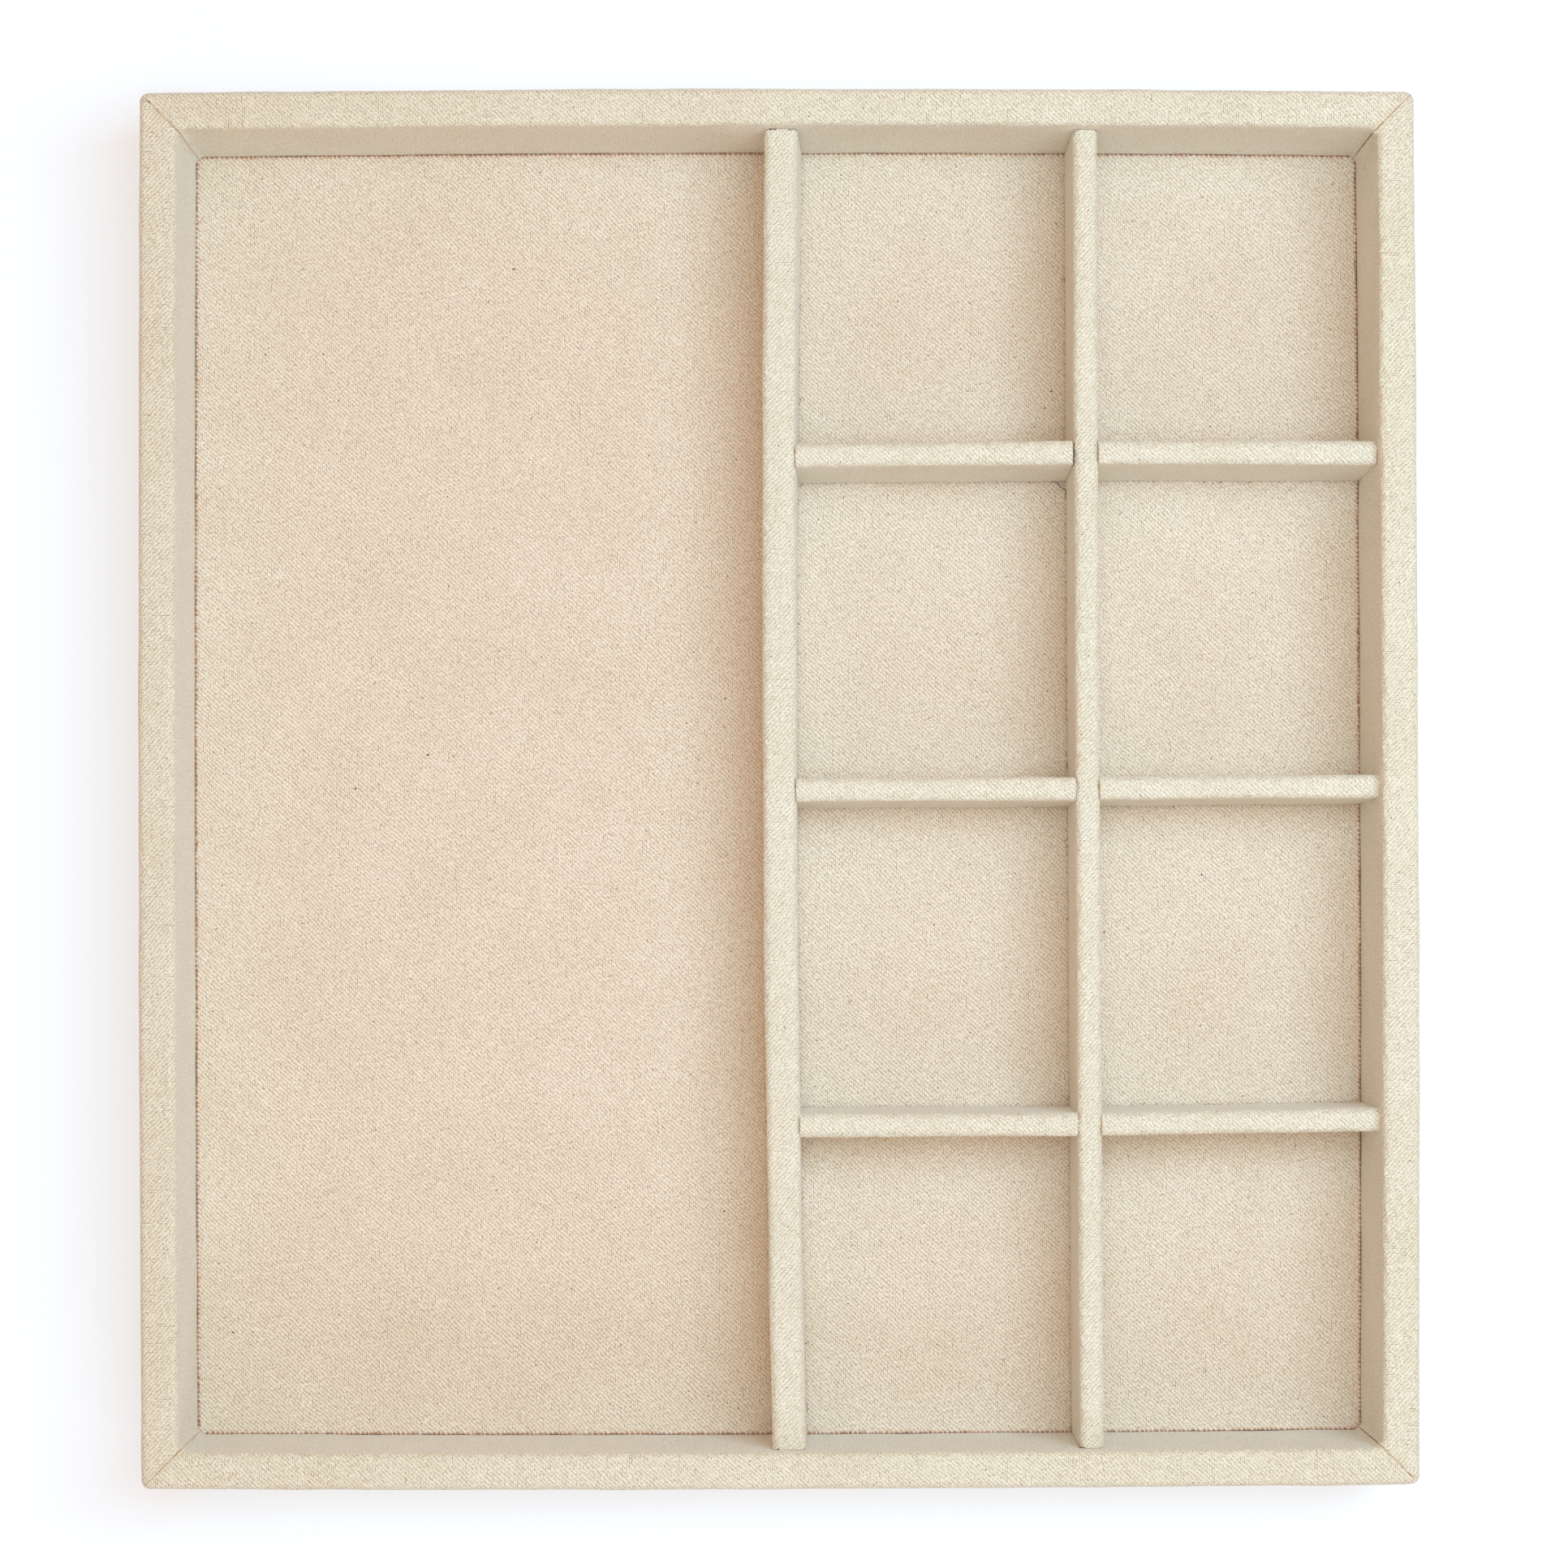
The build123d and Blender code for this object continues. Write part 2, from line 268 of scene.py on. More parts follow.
def cotton_canvas(name, settings, yarn, hollow, seed, gaps, glue):
    """Plain-woven cotton duck, unbleached and matt: pale crowns of yarn with tan hollows between them,
    slubs, seed specks, and a diagonal look where one set of threads stands higher than the other."""
    material, tree, shader = new_material(name, 0.92, Sheen_Weight=0.5, Sheen_Roughness=0.5,
                                          Specular_IOR_Level=0.25)
    warp = settings.warp_pitch / MM
    weft = settings.weft_pitch / MM
    turn = math.pi

    # The cloth attribute holds millimetres along and across the cloth, then to its closest edge
    place = add_node(tree, "Attribute", attribute_name="cloth").outputs["Vector"]
    moved = vectors(tree, "ADD", place, (seed * 7.3, seed * 3.1, 0.0))
    drift = flat_noise(tree, moved, 1 / 14, 2.0)
    wander = vectors(tree, "MULTIPLY_ADD", drift.outputs["Color"], (1.3, 1.3, 0.0), moved)
    ripple = flat_noise(tree, moved, 1 / 1.6, 1.0)
    cloth = vectors(tree, "MULTIPLY_ADD", ripple.outputs["Color"], (0.18, 0.18, 0.0), wander)

    # Each thread is half a wave wide
    across = vectors(tree, "DOT_PRODUCT", cloth, (turn / warp, 0.0, 0.0)).outputs["Value"]
    pulled = (math.tan(settings.skew) * turn / weft, turn / weft, 0.0)
    along = vectors(tree, "DOT_PRODUCT", cloth, pulled).outputs["Value"]
    warp_wave = maths(tree, "SINE", across)
    weft_wave = maths(tree, "SINE", along)
    warp_crest = maths(tree, "ABSOLUTE", warp_wave)
    weft_crest = maths(tree, "ABSOLUTE", weft_wave)
    turnabout = maths(tree, "MULTIPLY", warp_wave, weft_wave)
    warp_on_top = ranged(tree, turnabout, -0.22, 0.22, interpolation_type="SMOOTHSTEP")
    upper = add_node(tree, "Mix", {0: warp_on_top, 2: weft_crest, 3: warp_crest}, data_type="FLOAT")
    both = maths(tree, "MULTIPLY", warp_crest, weft_crest)
    crown = maths(tree, "MULTIPLY", both, upper)
    height = maths(tree, "POWER", crown, 0.6)

    # The lengthwise crowns stand proud like beads, and the yarn's twist leans each one towards the next
    # one on a diagonal, which is the line that the eye picks up
    diagonal = maths(tree, "COSINE", maths(tree, "SUBTRACT", across, along))

    # Slubs: each thread keeps its own thickness and tone for a few millimetres of its length
    threads = add_node(tree, "CombineXYZ", {0: across, 1: along})
    warp_tone = flat_noise(tree, vectors(tree, "MULTIPLY", threads, (0.45, 0.05, 0.0)), 1.0, 1.0)
    weft_tone = flat_noise(tree, vectors(tree, "MULTIPLY", threads, (0.05, 0.45, 0.0)), 1.0, 1.0)
    slub = add_node(tree, "Mix", {0: warp_on_top, 2: weft_tone, 3: warp_tone}, data_type="FLOAT")
    thick = ranged(tree, slub, 0.25, 0.75, -0.27, 0.27)
    leaned = maths(tree, "MULTIPLY_ADD", diagonal, 0.24, 0.31)
    beaded = maths(tree, "MULTIPLY_ADD", turnabout, 0.26, leaned)
    raised = maths(tree, "MULTIPLY_ADD", height, 0.50, beaded)

    # One crossing of threads sits a little higher or lower than the next
    sunk = ranged(tree, flat_noise(tree, threads, 0.33, 0.0), 0.2, 0.8, -0.32, 0.32)
    uneven = maths(tree, "ADD", thick, sunk)
    shown = maths(tree, "ADD", raised, uneven, use_clamp=True)
    woven = blended(tree, shown, linear(hollow), linear(yarn))

    # Here and there two lengthwise threads part for two or three crossings, and the gap looks dark
    parting = flat_noise(tree, vectors(tree, "MULTIPLY", threads, (0.55, 0.17, 0.0)), 1.0, 0.0)
    valley = ranged(tree, warp_crest, 0.10, 0.60, gaps, 0.0)
    gap = maths(tree, "MULTIPLY", ranged(tree, parting, 0.57, 0.70), valley)
    parted = blended(tree, gap, woven, linear("#85745C"))

    # Broad blotches from sizing and handling, a few centimetres across
    cast = ranged(tree, flat_noise(tree, moved, 1 / 22, 3.0), 0.3, 0.7, 0.0, 0.10)
    washed = blended(tree, cast, parted, linear("#DCC9A6"), blend_type="MULTIPLY")

    # Seed husks caught in the yarn, a fraction of a millimetre across
    husks = add_node(tree, "TexVoronoi", {"Vector": moved, "Scale": 1 / 9, "Randomness": 1.0},
                     voronoi_dimensions="2D")
    near = ranged(tree, husks.outputs["Distance"], 0.012, 0.030, 0.75, 0.0)
    lot = add_node(tree, "SeparateColor", {0: husks.outputs["Color"]})
    husk = maths(tree, "MULTIPLY", near, maths(tree, "GREATER_THAN", lot.outputs[0], 0.55))
    specked = blended(tree, husk, washed, linear("#8A6A48"))

    # Glue has soaked through beside the seams, in pale tan smears a millimetre or two wide
    edge = add_node(tree, "SeparateXYZ", {0: place}).outputs["Z"]
    beside = ranged(tree, edge, 0.3, 1.7, glue, 0.0)
    soaked = ranged(tree, flat_noise(tree, moved, 1 / 3.2, 1.0), 0.54, 0.63)
    smear = maths(tree, "MULTIPLY", beside, soaked, use_clamp=True)
    smeared = blended(tree, smear, specked, linear("#DFC79E"))

    # Glue darkens the last fifth of a millimetre at a seam, in broken stretches
    mouth = ranged(tree, edge, 0.02, 0.22, 1.0 if glue else 0.0, 0.0)
    patchy = ranged(tree, flat_noise(tree, moved, 1 / 1.8, 2.0), 0.46, 0.58, 0.25, 0.90)
    stain = maths(tree, "MULTIPLY", mouth, patchy, use_clamp=True)
    stained = blended(tree, stain, smeared, linear("#B9905F"))

    # Painted warm shade: for half a millimetre by its seams and creases the cloth is tinted warmer, as
    # the shade there is lit by light thrown back from the cloth
    painted_warm_shade = maths(tree, "MULTIPLY", ranged(tree, edge, 0.0, 0.45, 0.38, 0.0), patchy)
    warm_shaded = blended(tree, painted_warm_shade, stained, linear("#EBB582"), blend_type="MULTIPLY")

    # Painted shade: where a piece meets another below, a dotted brown line is painted between its threads
    # as the shade in the crease. The depth below such a crease is held as less than zero
    crease = ranged(tree, edge, -0.12, -0.02, 0.72, 0.0)
    between = ranged(tree, shown, 0.35, 0.85, 1.0, 0.30)
    painted_crease_shade = maths(tree, "MULTIPLY", crease, between, use_clamp=True)
    soil_and_shade = blended(tree, painted_crease_shade, warm_shaded, linear("#8A441A"))
    tree.links.new(soil_and_shade, shader.inputs["Base Color"])
    raised_by(tree, shader, maths(tree, "ADD", raised, uneven), 0.09, Strength=1.0)
    return material


def fibreboard():
    """Medium-density fibreboard, sawn and sanded: dull tan wood fibre with darker bark specks."""
    material, tree, shader = new_material("sanded_fibreboard", 0.78)
    # Fibres are about 0.4 mm wide and a few millimetres long, lying flat
    fibre = solid_noise(tree, 0.9, 5.0, Roughness=0.7, Distortion=1.2)
    two_tones(tree, shader, fibre, 0.30, "#8C6B45", 0.68, "#C9AB80")
    raised_by(tree, shader, fibre, 0.05)
    return material


def grey_board():
    """Recycled grey board, rolled: flat and matt, with pale and dark paper fibres showing."""
    material, tree, shader = new_material("rolled_grey_board", 0.85)
    pulp = solid_noise(tree, 1.4, 6.0, Roughness=0.75)
    two_tones(tree, shader, pulp, 0.34, "#827868", 0.66, "#AFA593")
    raised_by(tree, shader, pulp, 0.03)
    return material


def needled_felt():
    """Needled craft felt: a soft mat of crossed fibres, fully matt, slightly mottled."""
    material, tree, shader = new_material("needled_felt", 1.0, Sheen_Weight=0.25, Sheen_Roughness=0.6,
                                          Specular_IOR_Level=0.1)
    # Fibres are 0.02 mm thick, so the mat is drawn by its 0.5 mm tufts, which is what the eye sees
    tufts = solid_noise(tree, 0.5, 4.0, Roughness=0.65, Distortion=1.5)
    cloud = solid_noise(tree, 16, 3.0)
    mixed = add_node(tree, "Mix", {0: 0.35, 2: tufts, 3: cloud}, data_type="FLOAT")
    two_tones(tree, shader, mixed, 0.34, "#BDAF96", 0.66, "#DCD0B8")
    raised_by(tree, shader, tufts, 0.25)
    return material


def drawn_steel():
    """Bright drawn steel wire, as brads are cut from: fine marks of the die along the shank."""
    material, tree, shader = new_material("drawn_steel_wire", 0.34, Metallic=1.0)
    marks = solid_noise(tree, 0.15, 2.0)
    two_tones(tree, shader, marks, 0.0, "#A9A9AD", 1.0, "#CFCFD2")
    raised_by(tree, shader, marks, 0.01)
    return material


def loose_fibre(name, pale, deep):
    """Spun cotton fibre pulled out of the cloth: matt, and tinted unevenly along its length."""
    material, tree, shader = new_material(name, 0.9, Specular_IOR_Level=0.2)
    two_tones(tree, shader, solid_noise(tree, 1.1, 2.0), 0.38, deep, 0.62, pale)
    return material


# Shapes

def soft_waves(seed, height, shortest, longest, count=9):
    """A gentle unevenness that is the same each time: a few long waves that cross the cloth."""
    draw = random.Random(seed)
    waves = []
    for _ in range(count):
        length = draw.uniform(shortest, longest)
        heading = draw.uniform(0, math.pi)
        by_u = 2 * math.pi * math.cos(heading) / length
        by_v = 2 * math.pi * math.sin(heading) / length
        waves.append((by_u, by_v, draw.uniform(0, 2 * math.pi)))

    def at(u, v):
        return height * sum(np.sin(u * a + v * b + phase) for a, b, phase in waves) / math.sqrt(count)
    return at


def ease(value, start, end):
    """0 before start, 1 after end, and smooth between."""
    t = np.clip((value - start) / (end - start), 0, 1)
    return t * t * (3 - 2 * t)


def rounded_path(corners, radii, step, bend=8):
    """Points along straight runs that turn right on an arc at each corner: place, normal, distance."""
    corners = [np.array(c, float) for c in corners]
    places, normals = [], []

    def run(start, end, last):
        length = np.linalg.norm(end - start)
        count = max(1, math.ceil(length / step))
        out = (end - start) / length
        for k in range(0 if not places else 1, count + last):
            places.append(start + (end - start) * k / count)
            normals.append((-out[1], out[0]))

    here = corners[0]
    for corner, after, radius in zip(corners[1:-1], corners[2:], radii):
        ahead = (corner - here) / np.linalg.norm(corner - here)
        turned = (after - corner) / np.linalg.norm(after - corner)
        run(here, corner - ahead * radius, 0)
        centre = corner - ahead * radius + turned * radius
        for k in range(bend + 1):
            angle = math.pi / 2 * k / bend
            out = -turned * math.cos(angle) + ahead * math.sin(angle)
            places.append(centre + out * radius)
            normals.append(out)
        here = corner + turned * radius
    run(here, corners[-1], 1)
    places, normals = np.array(places), np.array(normals)
    steps = np.linalg.norm(np.diff(places, axis=0), axis=1)
    return places, normals, np.concatenate([[0], np.cumsum(steps)])


def with_rows(places, normals, lengths, extra):
    """Puts more points on a path's straight runs, at extra distances along it."""
    every = np.sort(np.concatenate([lengths, extra]))

    def between(values):
        return np.stack([np.interp(every, lengths, values[:, k]) for k in (0, 1)], -1)
    return between(places), between(normals), every


def grid_faces(rows, columns, start=0, wrap=False, flip=False):
    """Four-sided faces over a grid of numbered points, closed round the columns if wrap is set."""
    i, j = np.meshgrid(np.arange(rows - 1), np.arange(columns if wrap else columns - 1), indexing="ij")
    k = (j + 1) % columns
    here, below = i * columns, (i + 1) * columns
    faces = np.stack([here + j, below + j, below + k, here + k], -1).reshape(-1, 4) + start
    return faces[:, ::-1] if flip else faces


def tube_faces(rows, columns):
    """Faces over a grid of numbered points that is wrapped round to a tube, closed at both ends."""
    last = (rows - 1) * columns
    far_end = range(last + columns - 1, last - 1, -1)
    return [*grid_faces(rows, columns, wrap=True), range(columns), far_end]


def make_object(name, points, faces, material, cloth=None, flat_from=None):
    """A mesh object in the tray's frame, riding on its one body. Cloth gives each point's place on the
    canvas, and the faces from flat_from on are flat, with sharp edges."""
    mesh = bpy.data.meshes.new(name)
    mesh.from_pydata([tuple(p) for p in points], [], [tuple(int(k) for k in f) for f in faces])
    if cloth is not None:
        layer = mesh.attributes.new("cloth", "FLOAT_VECTOR", "POINT")
        layer.data.foreach_set("vector", (np.asarray(cloth, np.float32) / MM).ravel().astype(np.float32))
    smooth = len(faces) if flat_from is None else flat_from
    mesh.polygons.foreach_set("use_smooth", np.arange(len(faces)) < smooth)
    mesh.materials.append(material)
    mesh.update()
    thing = bpy.data.objects.new(name, mesh)
    bpy.context.scene.collection.objects.link(thing)
    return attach(thing, BODY)


def sheet_object(name, outer, inner, cloth, material):
    """A closed sheet of cloth from the grid of its outside and the grid of its inside."""
    rows, columns = outer.shape[:2]
    total = rows * columns
    faces = [grid_faces(rows, columns), grid_faces(rows, columns, total, flip=True)]
    index = np.arange(total).reshape(rows, columns)
    border = np.concatenate([index[:, 0], index[-1, 1:], index[-2::-1, -1], index[0, -2:0:-1]])
    ahead = np.roll(border, -1)
    faces.append(np.stack([ahead, border, border + total, ahead + total], -1))
    points = np.concatenate([outer.reshape(-1, 3), inner.reshape(-1, 3)])
    places = np.concatenate([cloth.reshape(-1, 3)] * 2)
    surface = sum(len(part) for part in faces[:2])
    return make_object(name, points, np.concatenate(faces), material, places, flat_from=surface)


# Walls

WALLS = {
    # name: the way into the tray, and the way along the wall
    "front": ((0, 1), (1, 0)),
    "back": ((0, -1), (-1, 0)),
    "left": ((1, 0), (0, -1)),
    "right": ((-1, 0), (0, 1)),
}
# How far each wall bows, as a share of the back wall's bow
BOW_SHARES = {"front": 0.70, "back": 1.0, "left": 0.55, "right": 0.55}
LOOSE_SPOTS = {
    # The back wall's canvas is loose beside the wide divider: place along the wall and up it, width and
    # height of the loose spot, and how far it stands out
    "back": [(9.5 * MM, 30.5 * MM, 6 * MM, 2.6 * MM, 0.75 * MM)],
}
# Distances from a mitre, in millimetres, of the points that each canvas has near its ends
END_STEPS = [0, 0.08, 0.2, 0.36, 0.6, 0.9, 1.3, 1.8, 2.5, 3.4, 4.5, 6.0]
# Distances between points along a wall or divider, and round its section
STEP = 0.55 * MM
PROFILE_STEP = 4 * MM
# Extra rows of points by the crease at the floor, in millimetres below it
CREASE_ROWS = [-0.62, -0.54, -0.35, -0.15, 0, 0.3]
# The painted shade of a crease reaches this far up from it
CREASE_SHADE_HEIGHT = 0.25 * MM
# A board holds its cloth up, so that a wave rises but hardly sinks
DEEPEST_SINK = 0.03 * MM
# Shortest and longest wave of the threads that stand out at a turn, and how many waves make them up
RUFFLE_WAVES = (1.2 * MM, 4 * MM, 20)


def wall_sizes(side):
    """A wall's way in, its way along, half its length and its distance from the middle of the tray."""
    inward, forward = (np.array(way, float) for way in WALLS[side])
    corner = np.array([HIGHEST.x, HIGHEST.y])
    return inward, forward, abs(forward @ corner), abs(inward @ corner)


def wall_bow(side, along, shape, depth=RAIL):
    """How far a wall stands outwards at a distance along it from its middle: nothing on the mitres."""
    reach = wall_sizes(side)[2] - depth
    return shape.bow * BOW_SHARES[side] * np.clip(1 - (along / reach) ** 2, 0, 1)


def round_corner(along, depth, half, radius):
    """Moves points near a wall's ends on to the tray's rounded upright corner, seen from above."""
    to_end = half - np.abs(along)
    inside = (to_end < radius) & (depth < radius)
    reach = np.where(inside, radius - depth, 1.0)
    angle = np.where(inside, math.pi / 4 * (radius - to_end) / reach, 0)
    new_end = radius - (radius - depth) * np.sin(angle)
    new_depth = radius - (radius - depth) * np.cos(angle)
    new_along = np.sign(along) * (half - new_end)
    return np.where(inside, new_along, along), np.where(inside, new_depth, depth)


def wall_cover(side, seed, shape, canvas, material, puckers=()):
    """One wall's canvas: from its hem under the base, up the outside, over the rim and down the inside to
    the floor card, cut to a mitre at both ends."""
    inward, forward, half, face = wall_sizes(side)
    corners = [(shape.hem, HEM_UNDERSIDE), (0, HEM_UNDERSIDE), (0, RIM_HEIGHT), (RAIL, RIM_HEIGHT),
               (RAIL, WALL_FOOT)]
    radii = [shape.bottom_radius, shape.rim_radius, shape.rim_radius]
    places, normals, lengths = rounded_path(corners, radii, PROFILE_STEP)
    crease = lengths[-1] - (FLOOR_TOP - WALL_FOOT)
    places, normals, lengths = with_rows(places, normals, lengths, crease + np.array(CREASE_ROWS) * MM)

    # Each profile point runs from its own place on one mitre to its own place on the other
    ends = np.array(END_STEPS) * MM
    middle = np.linspace(-1, 1, math.ceil(2 * half / STEP))
    reach = half - np.clip(places[:, 0], 0, None)
    plain = reach - ends[-1]
    along = np.concatenate([
        -(reach[None, :] - ends[:-1, None]), middle[:, None] * plain[None, :],
        (reach[None, :] - ends[-2::-1, None])])
    to_mitre = reach[None, :] - np.abs(along)
    depth = np.broadcast_to(places[:, 0], along.shape)
    height = np.broadcast_to(places[:, 1], along.shape)
    out_depth = np.broadcast_to(normals[:, 0], along.shape)
    out_height = np.broadcast_to(normals[:, 1], along.shape)
    run = np.broadcast_to(lengths, along.shape)

    # The waves die out towards the mitres and on the hem
    wave = soft_waves(seed, canvas.unevenness, shortest=14 * MM, longest=90 * MM)(along, run)
    wave = wave * ease(to_mitre, 0, 9 * MM) * ease(run, shape.hem * 0.4, shape.hem)
    wave = np.clip(wave, -DEEPEST_SINK, None)
    for where, at_height, wide, tall, proud in puckers:
        bump = np.exp(-((along - where) / wide) ** 2 - ((height - at_height) / tall) ** 2)
        wave = wave + proud * bump * (depth > RAIL - shape.rim_radius)
    turning = np.clip(2 * np.abs(out_depth * out_height), 0, 1) * (height > WALL_FOOT)
    ruffle = soft_waves(seed + 20, shape.ruffle, *RUFFLE_WAVES)(along, run)
    # The outer edges were rubbed smooth
    turning = turning * np.where(depth > RAIL / 2, 1, 0.3)
    wave = wave + np.clip(ruffle, -shape.ruffle, shape.ruffle) * turning * ease(to_mitre, 0, 2 * MM)
    dip = shape.seam_dip * np.clip(1 - to_mitre / (0.25 * MM), 0, 1) ** 2 * np.clip(out_height, 0, 1)
    bow = wall_bow(side, along, shape, np.clip(depth, 0, RAIL)) * ease(height, HEM_UNDERSIDE, WALL_FOOT)
    # Canvas can't follow a sharp inner corner, so it rounds it and meets the next wall's on the mitre
    fill = shape.corner_fill / 2 * np.clip(1 - to_mitre / shape.corner_fill, 0, 1) ** 2
    fill = fill * np.clip(out_depth, 0, 1)
    lift = wave - dip

    def placed(offset):
        far = depth + out_depth * (lift - offset) - bow + fill
        up = height + out_height * (lift - offset)
        side_on, deep = round_corner(along - np.sign(along) * fill, far, half, shape.corner_radius)
        flat = (deep - face)[..., None] * inward + side_on[..., None] * forward
        return np.concatenate([flat, up[..., None]], -1)

    # Well above the crease, only the mitres and the hem's edge count
    to_crease = crease - run - CREASE_SHADE_HEIGHT
    to_crease = np.where(to_crease > 0.4 * MM, to_mitre, to_crease)
    to_cut = np.minimum(to_mitre, np.minimum(run, to_crease))
    cloth = np.stack([-along, run, to_cut], -1)
    piece = sheet_object(side + "_wall_cover", placed(0), placed(canvas.thickness), cloth, material)
    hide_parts(side + "_wall_canvas")


def wall_core(side, shape, material):
    """One wall's board, bowed as its canvas is, with eased top edges and mitred ends."""
    inward, forward, half, face = wall_sizes(side)
    low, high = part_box(side + "_wall_board")
    eased = 0.3 * MM
    near, far = SKIN, RAIL - SKIN
    section = np.array([
        (near, low.z), (near, high.z - eased), (near + eased, high.z), (far - eased, high.z),
        (far, high.z - eased), (far, low.z)])
    depth, height = section[None, :, 0], section[None, :, 1]
    along = np.linspace(-1, 1, math.ceil(2 * half / PROFILE_STEP))[:, None] * (half - depth)
    deep = depth - wall_bow(side, along, shape, depth) - face
    flat = deep[..., None] * inward + along[..., None] * forward
    points = np.concatenate([flat, np.broadcast_to(height, along.shape)[..., None]], -1)
    piece = make_object(side + "_wall_core", points.reshape(-1, 3), tube_faces(*along.shape), material,
                        flat_from=0)
    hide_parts(side + "_wall_board")


# Floor

FLOOR_STEP = 1.6 * MM


def floor_cover(shape, canvas, material):
    """The floor canvas, glued over its card and turned down over the card's edges."""
    low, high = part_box("floor_canvas")
    radius = shape.floor_rounding
    quarter = radius * math.pi / 2
    drop = (high.z - low.z) - radius
    skirt = np.concatenate([np.linspace(0, quarter, 7)[1:], quarter + np.linspace(0, drop, 3)[1:]])

    def spread(half):
        inner = half - radius
        count = math.ceil(2 * inner / FLOOR_STEP)
        flat = np.linspace(-inner, inner, count + 1)
        return np.concatenate([-inner - skirt[::-1], flat, inner + skirt]), inner

    xs, inner_x = spread(high.x)
    ys, inner_y = spread(high.y)
    u, v = np.meshgrid(xs, ys, indexing="ij")
    over_x, over_y = np.abs(u) - inner_x, np.abs(v) - inner_y
    px, py = np.clip(over_x, 0, None), np.clip(over_y, 0, None)
    down = np.maximum(px, py)
    heading = np.where(px >= py, math.pi / 4 * py / np.maximum(px, 1e-9),
                       math.pi / 2 - math.pi / 4 * px / np.maximum(py, 1e-9))
    heading = np.where(py <= 0, 0, np.where(px <= 0, math.pi / 2, heading))
    turn = np.clip(down / radius, 0, math.pi / 2)
    out_x, out_y = np.cos(heading) * np.sign(u), np.sin(heading) * np.sign(v)
    base_x, base_y = np.clip(u, -inner_x, inner_x), np.clip(v, -inner_y, inner_y)
    wave = soft_waves(31, canvas.unevenness * 0.8, shortest=22 * MM, longest=120 * MM)(u, v)
    wave = np.clip(wave, -0.04 * MM, None) * ease(-down, -0.5 * MM, 0)
    # The cut edge wanders, and nearly everywhere it presses against the walls
    pressed = ease(turn, 0, 0.7)
    edge_wave = soft_waves(32, 0.12 * MM, shortest=3.2 * MM, longest=22 * MM, count=16)(u, v)
    edge_wave = np.clip(edge_wave + 0.46 * MM, 0.36 * MM, 0.54 * MM) * pressed
    # The cloth was cut to the bowed walls
    cut = 20 * MM
    bow_x = np.where(u > 0, wall_bow("right", v, shape), wall_bow("left", v, shape))
    bow_y = np.where(v > 0, wall_bow("back", u, shape), wall_bow("front", u, shape))
    bow_x = bow_x * np.sign(u) * ease(np.abs(u), inner_x - cut, inner_x)
    bow_y = bow_y * np.sign(v) * ease(np.abs(v), inner_y - cut, inner_y)

    def placed(offset):
        bend = max(radius - offset, 0.02 * MM)
        flat_reach = bend * np.sin(turn) + edge_wave
        x = base_x + out_x * flat_reach * (down > 0)
        y = base_y + out_y * flat_reach * (down > 0)
        past_x = np.clip(np.abs(x) - (high.x - shape.floor_corner), 1e-9, None)
        past_y = np.clip(np.abs(y) - (high.y - shape.floor_corner), 1e-9, None)
        drawn = np.maximum(past_x, past_y) / np.hypot(past_x, past_y)
        x = x - np.sign(x) * past_x * (1 - drawn) + bow_x
        y = y - np.sign(y) * past_y * (1 - drawn) + bow_y
        z = high.z - offset - bend + bend * np.cos(turn) - np.clip(down - quarter, 0, None) + wave
        return np.stack([x, y, z], -1)

    to_cut = np.minimum(xs[-1] - np.abs(u), ys[-1] - np.abs(v))
    cloth = np.stack([-u, v, to_cut - skirt[-1]], -1)
    piece = sheet_object("floor_cover", placed(0), placed(canvas.thickness), cloth, material)
    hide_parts("floor_canvas")


# Dividers

FOOT_ROUNDING = 0.4 * MM
# How round the upright corners of the cross dividers are
CROSS_CORNER = 0.18 * MM


class Bar:
    """One divider's place, and how far its canvas strays from it by share of its length, in metres."""

    def __init__(self, node, lengthwise, top_stray, foot_stray, corner):
        self.node = node
        self.lengthwise = lengthwise
        low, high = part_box(node + "_canvas")
        along, across = (1, 0) if lengthwise else (0, 1)
        self.near, self.far = low[along], high[along]
        self.middle = (low[across] + high[across]) / 2
        self.width = high[across] - low[across]
        self.foot, self.top = low.z, high.z
        self.top_stray, self.foot_stray = top_stray, foot_stray
        self.corner = corner
        self.near_shift = self.far_shift = lambda level: 0.0 * level

    def stray(self, along, level):
        """How far the divider stands aside at a place along it, from level 0, its foot, to 1, its top."""
        share = (along - self.near) / (self.far - self.near)
        return self.foot_stray(share) * (1 - level) + self.top_stray(share) * level


def bar_section(width, foot, top, top_radius, foot_radius):
    """Half of a divider's section, from the middle of its foot up the left side to that of its top."""
    half = width / 2
    corners = [(0, foot), (-half, foot), (-half, top), (0, top)]
    return rounded_path(corners, [foot_radius, top_radius], step=3.0 * MM, bend=7)


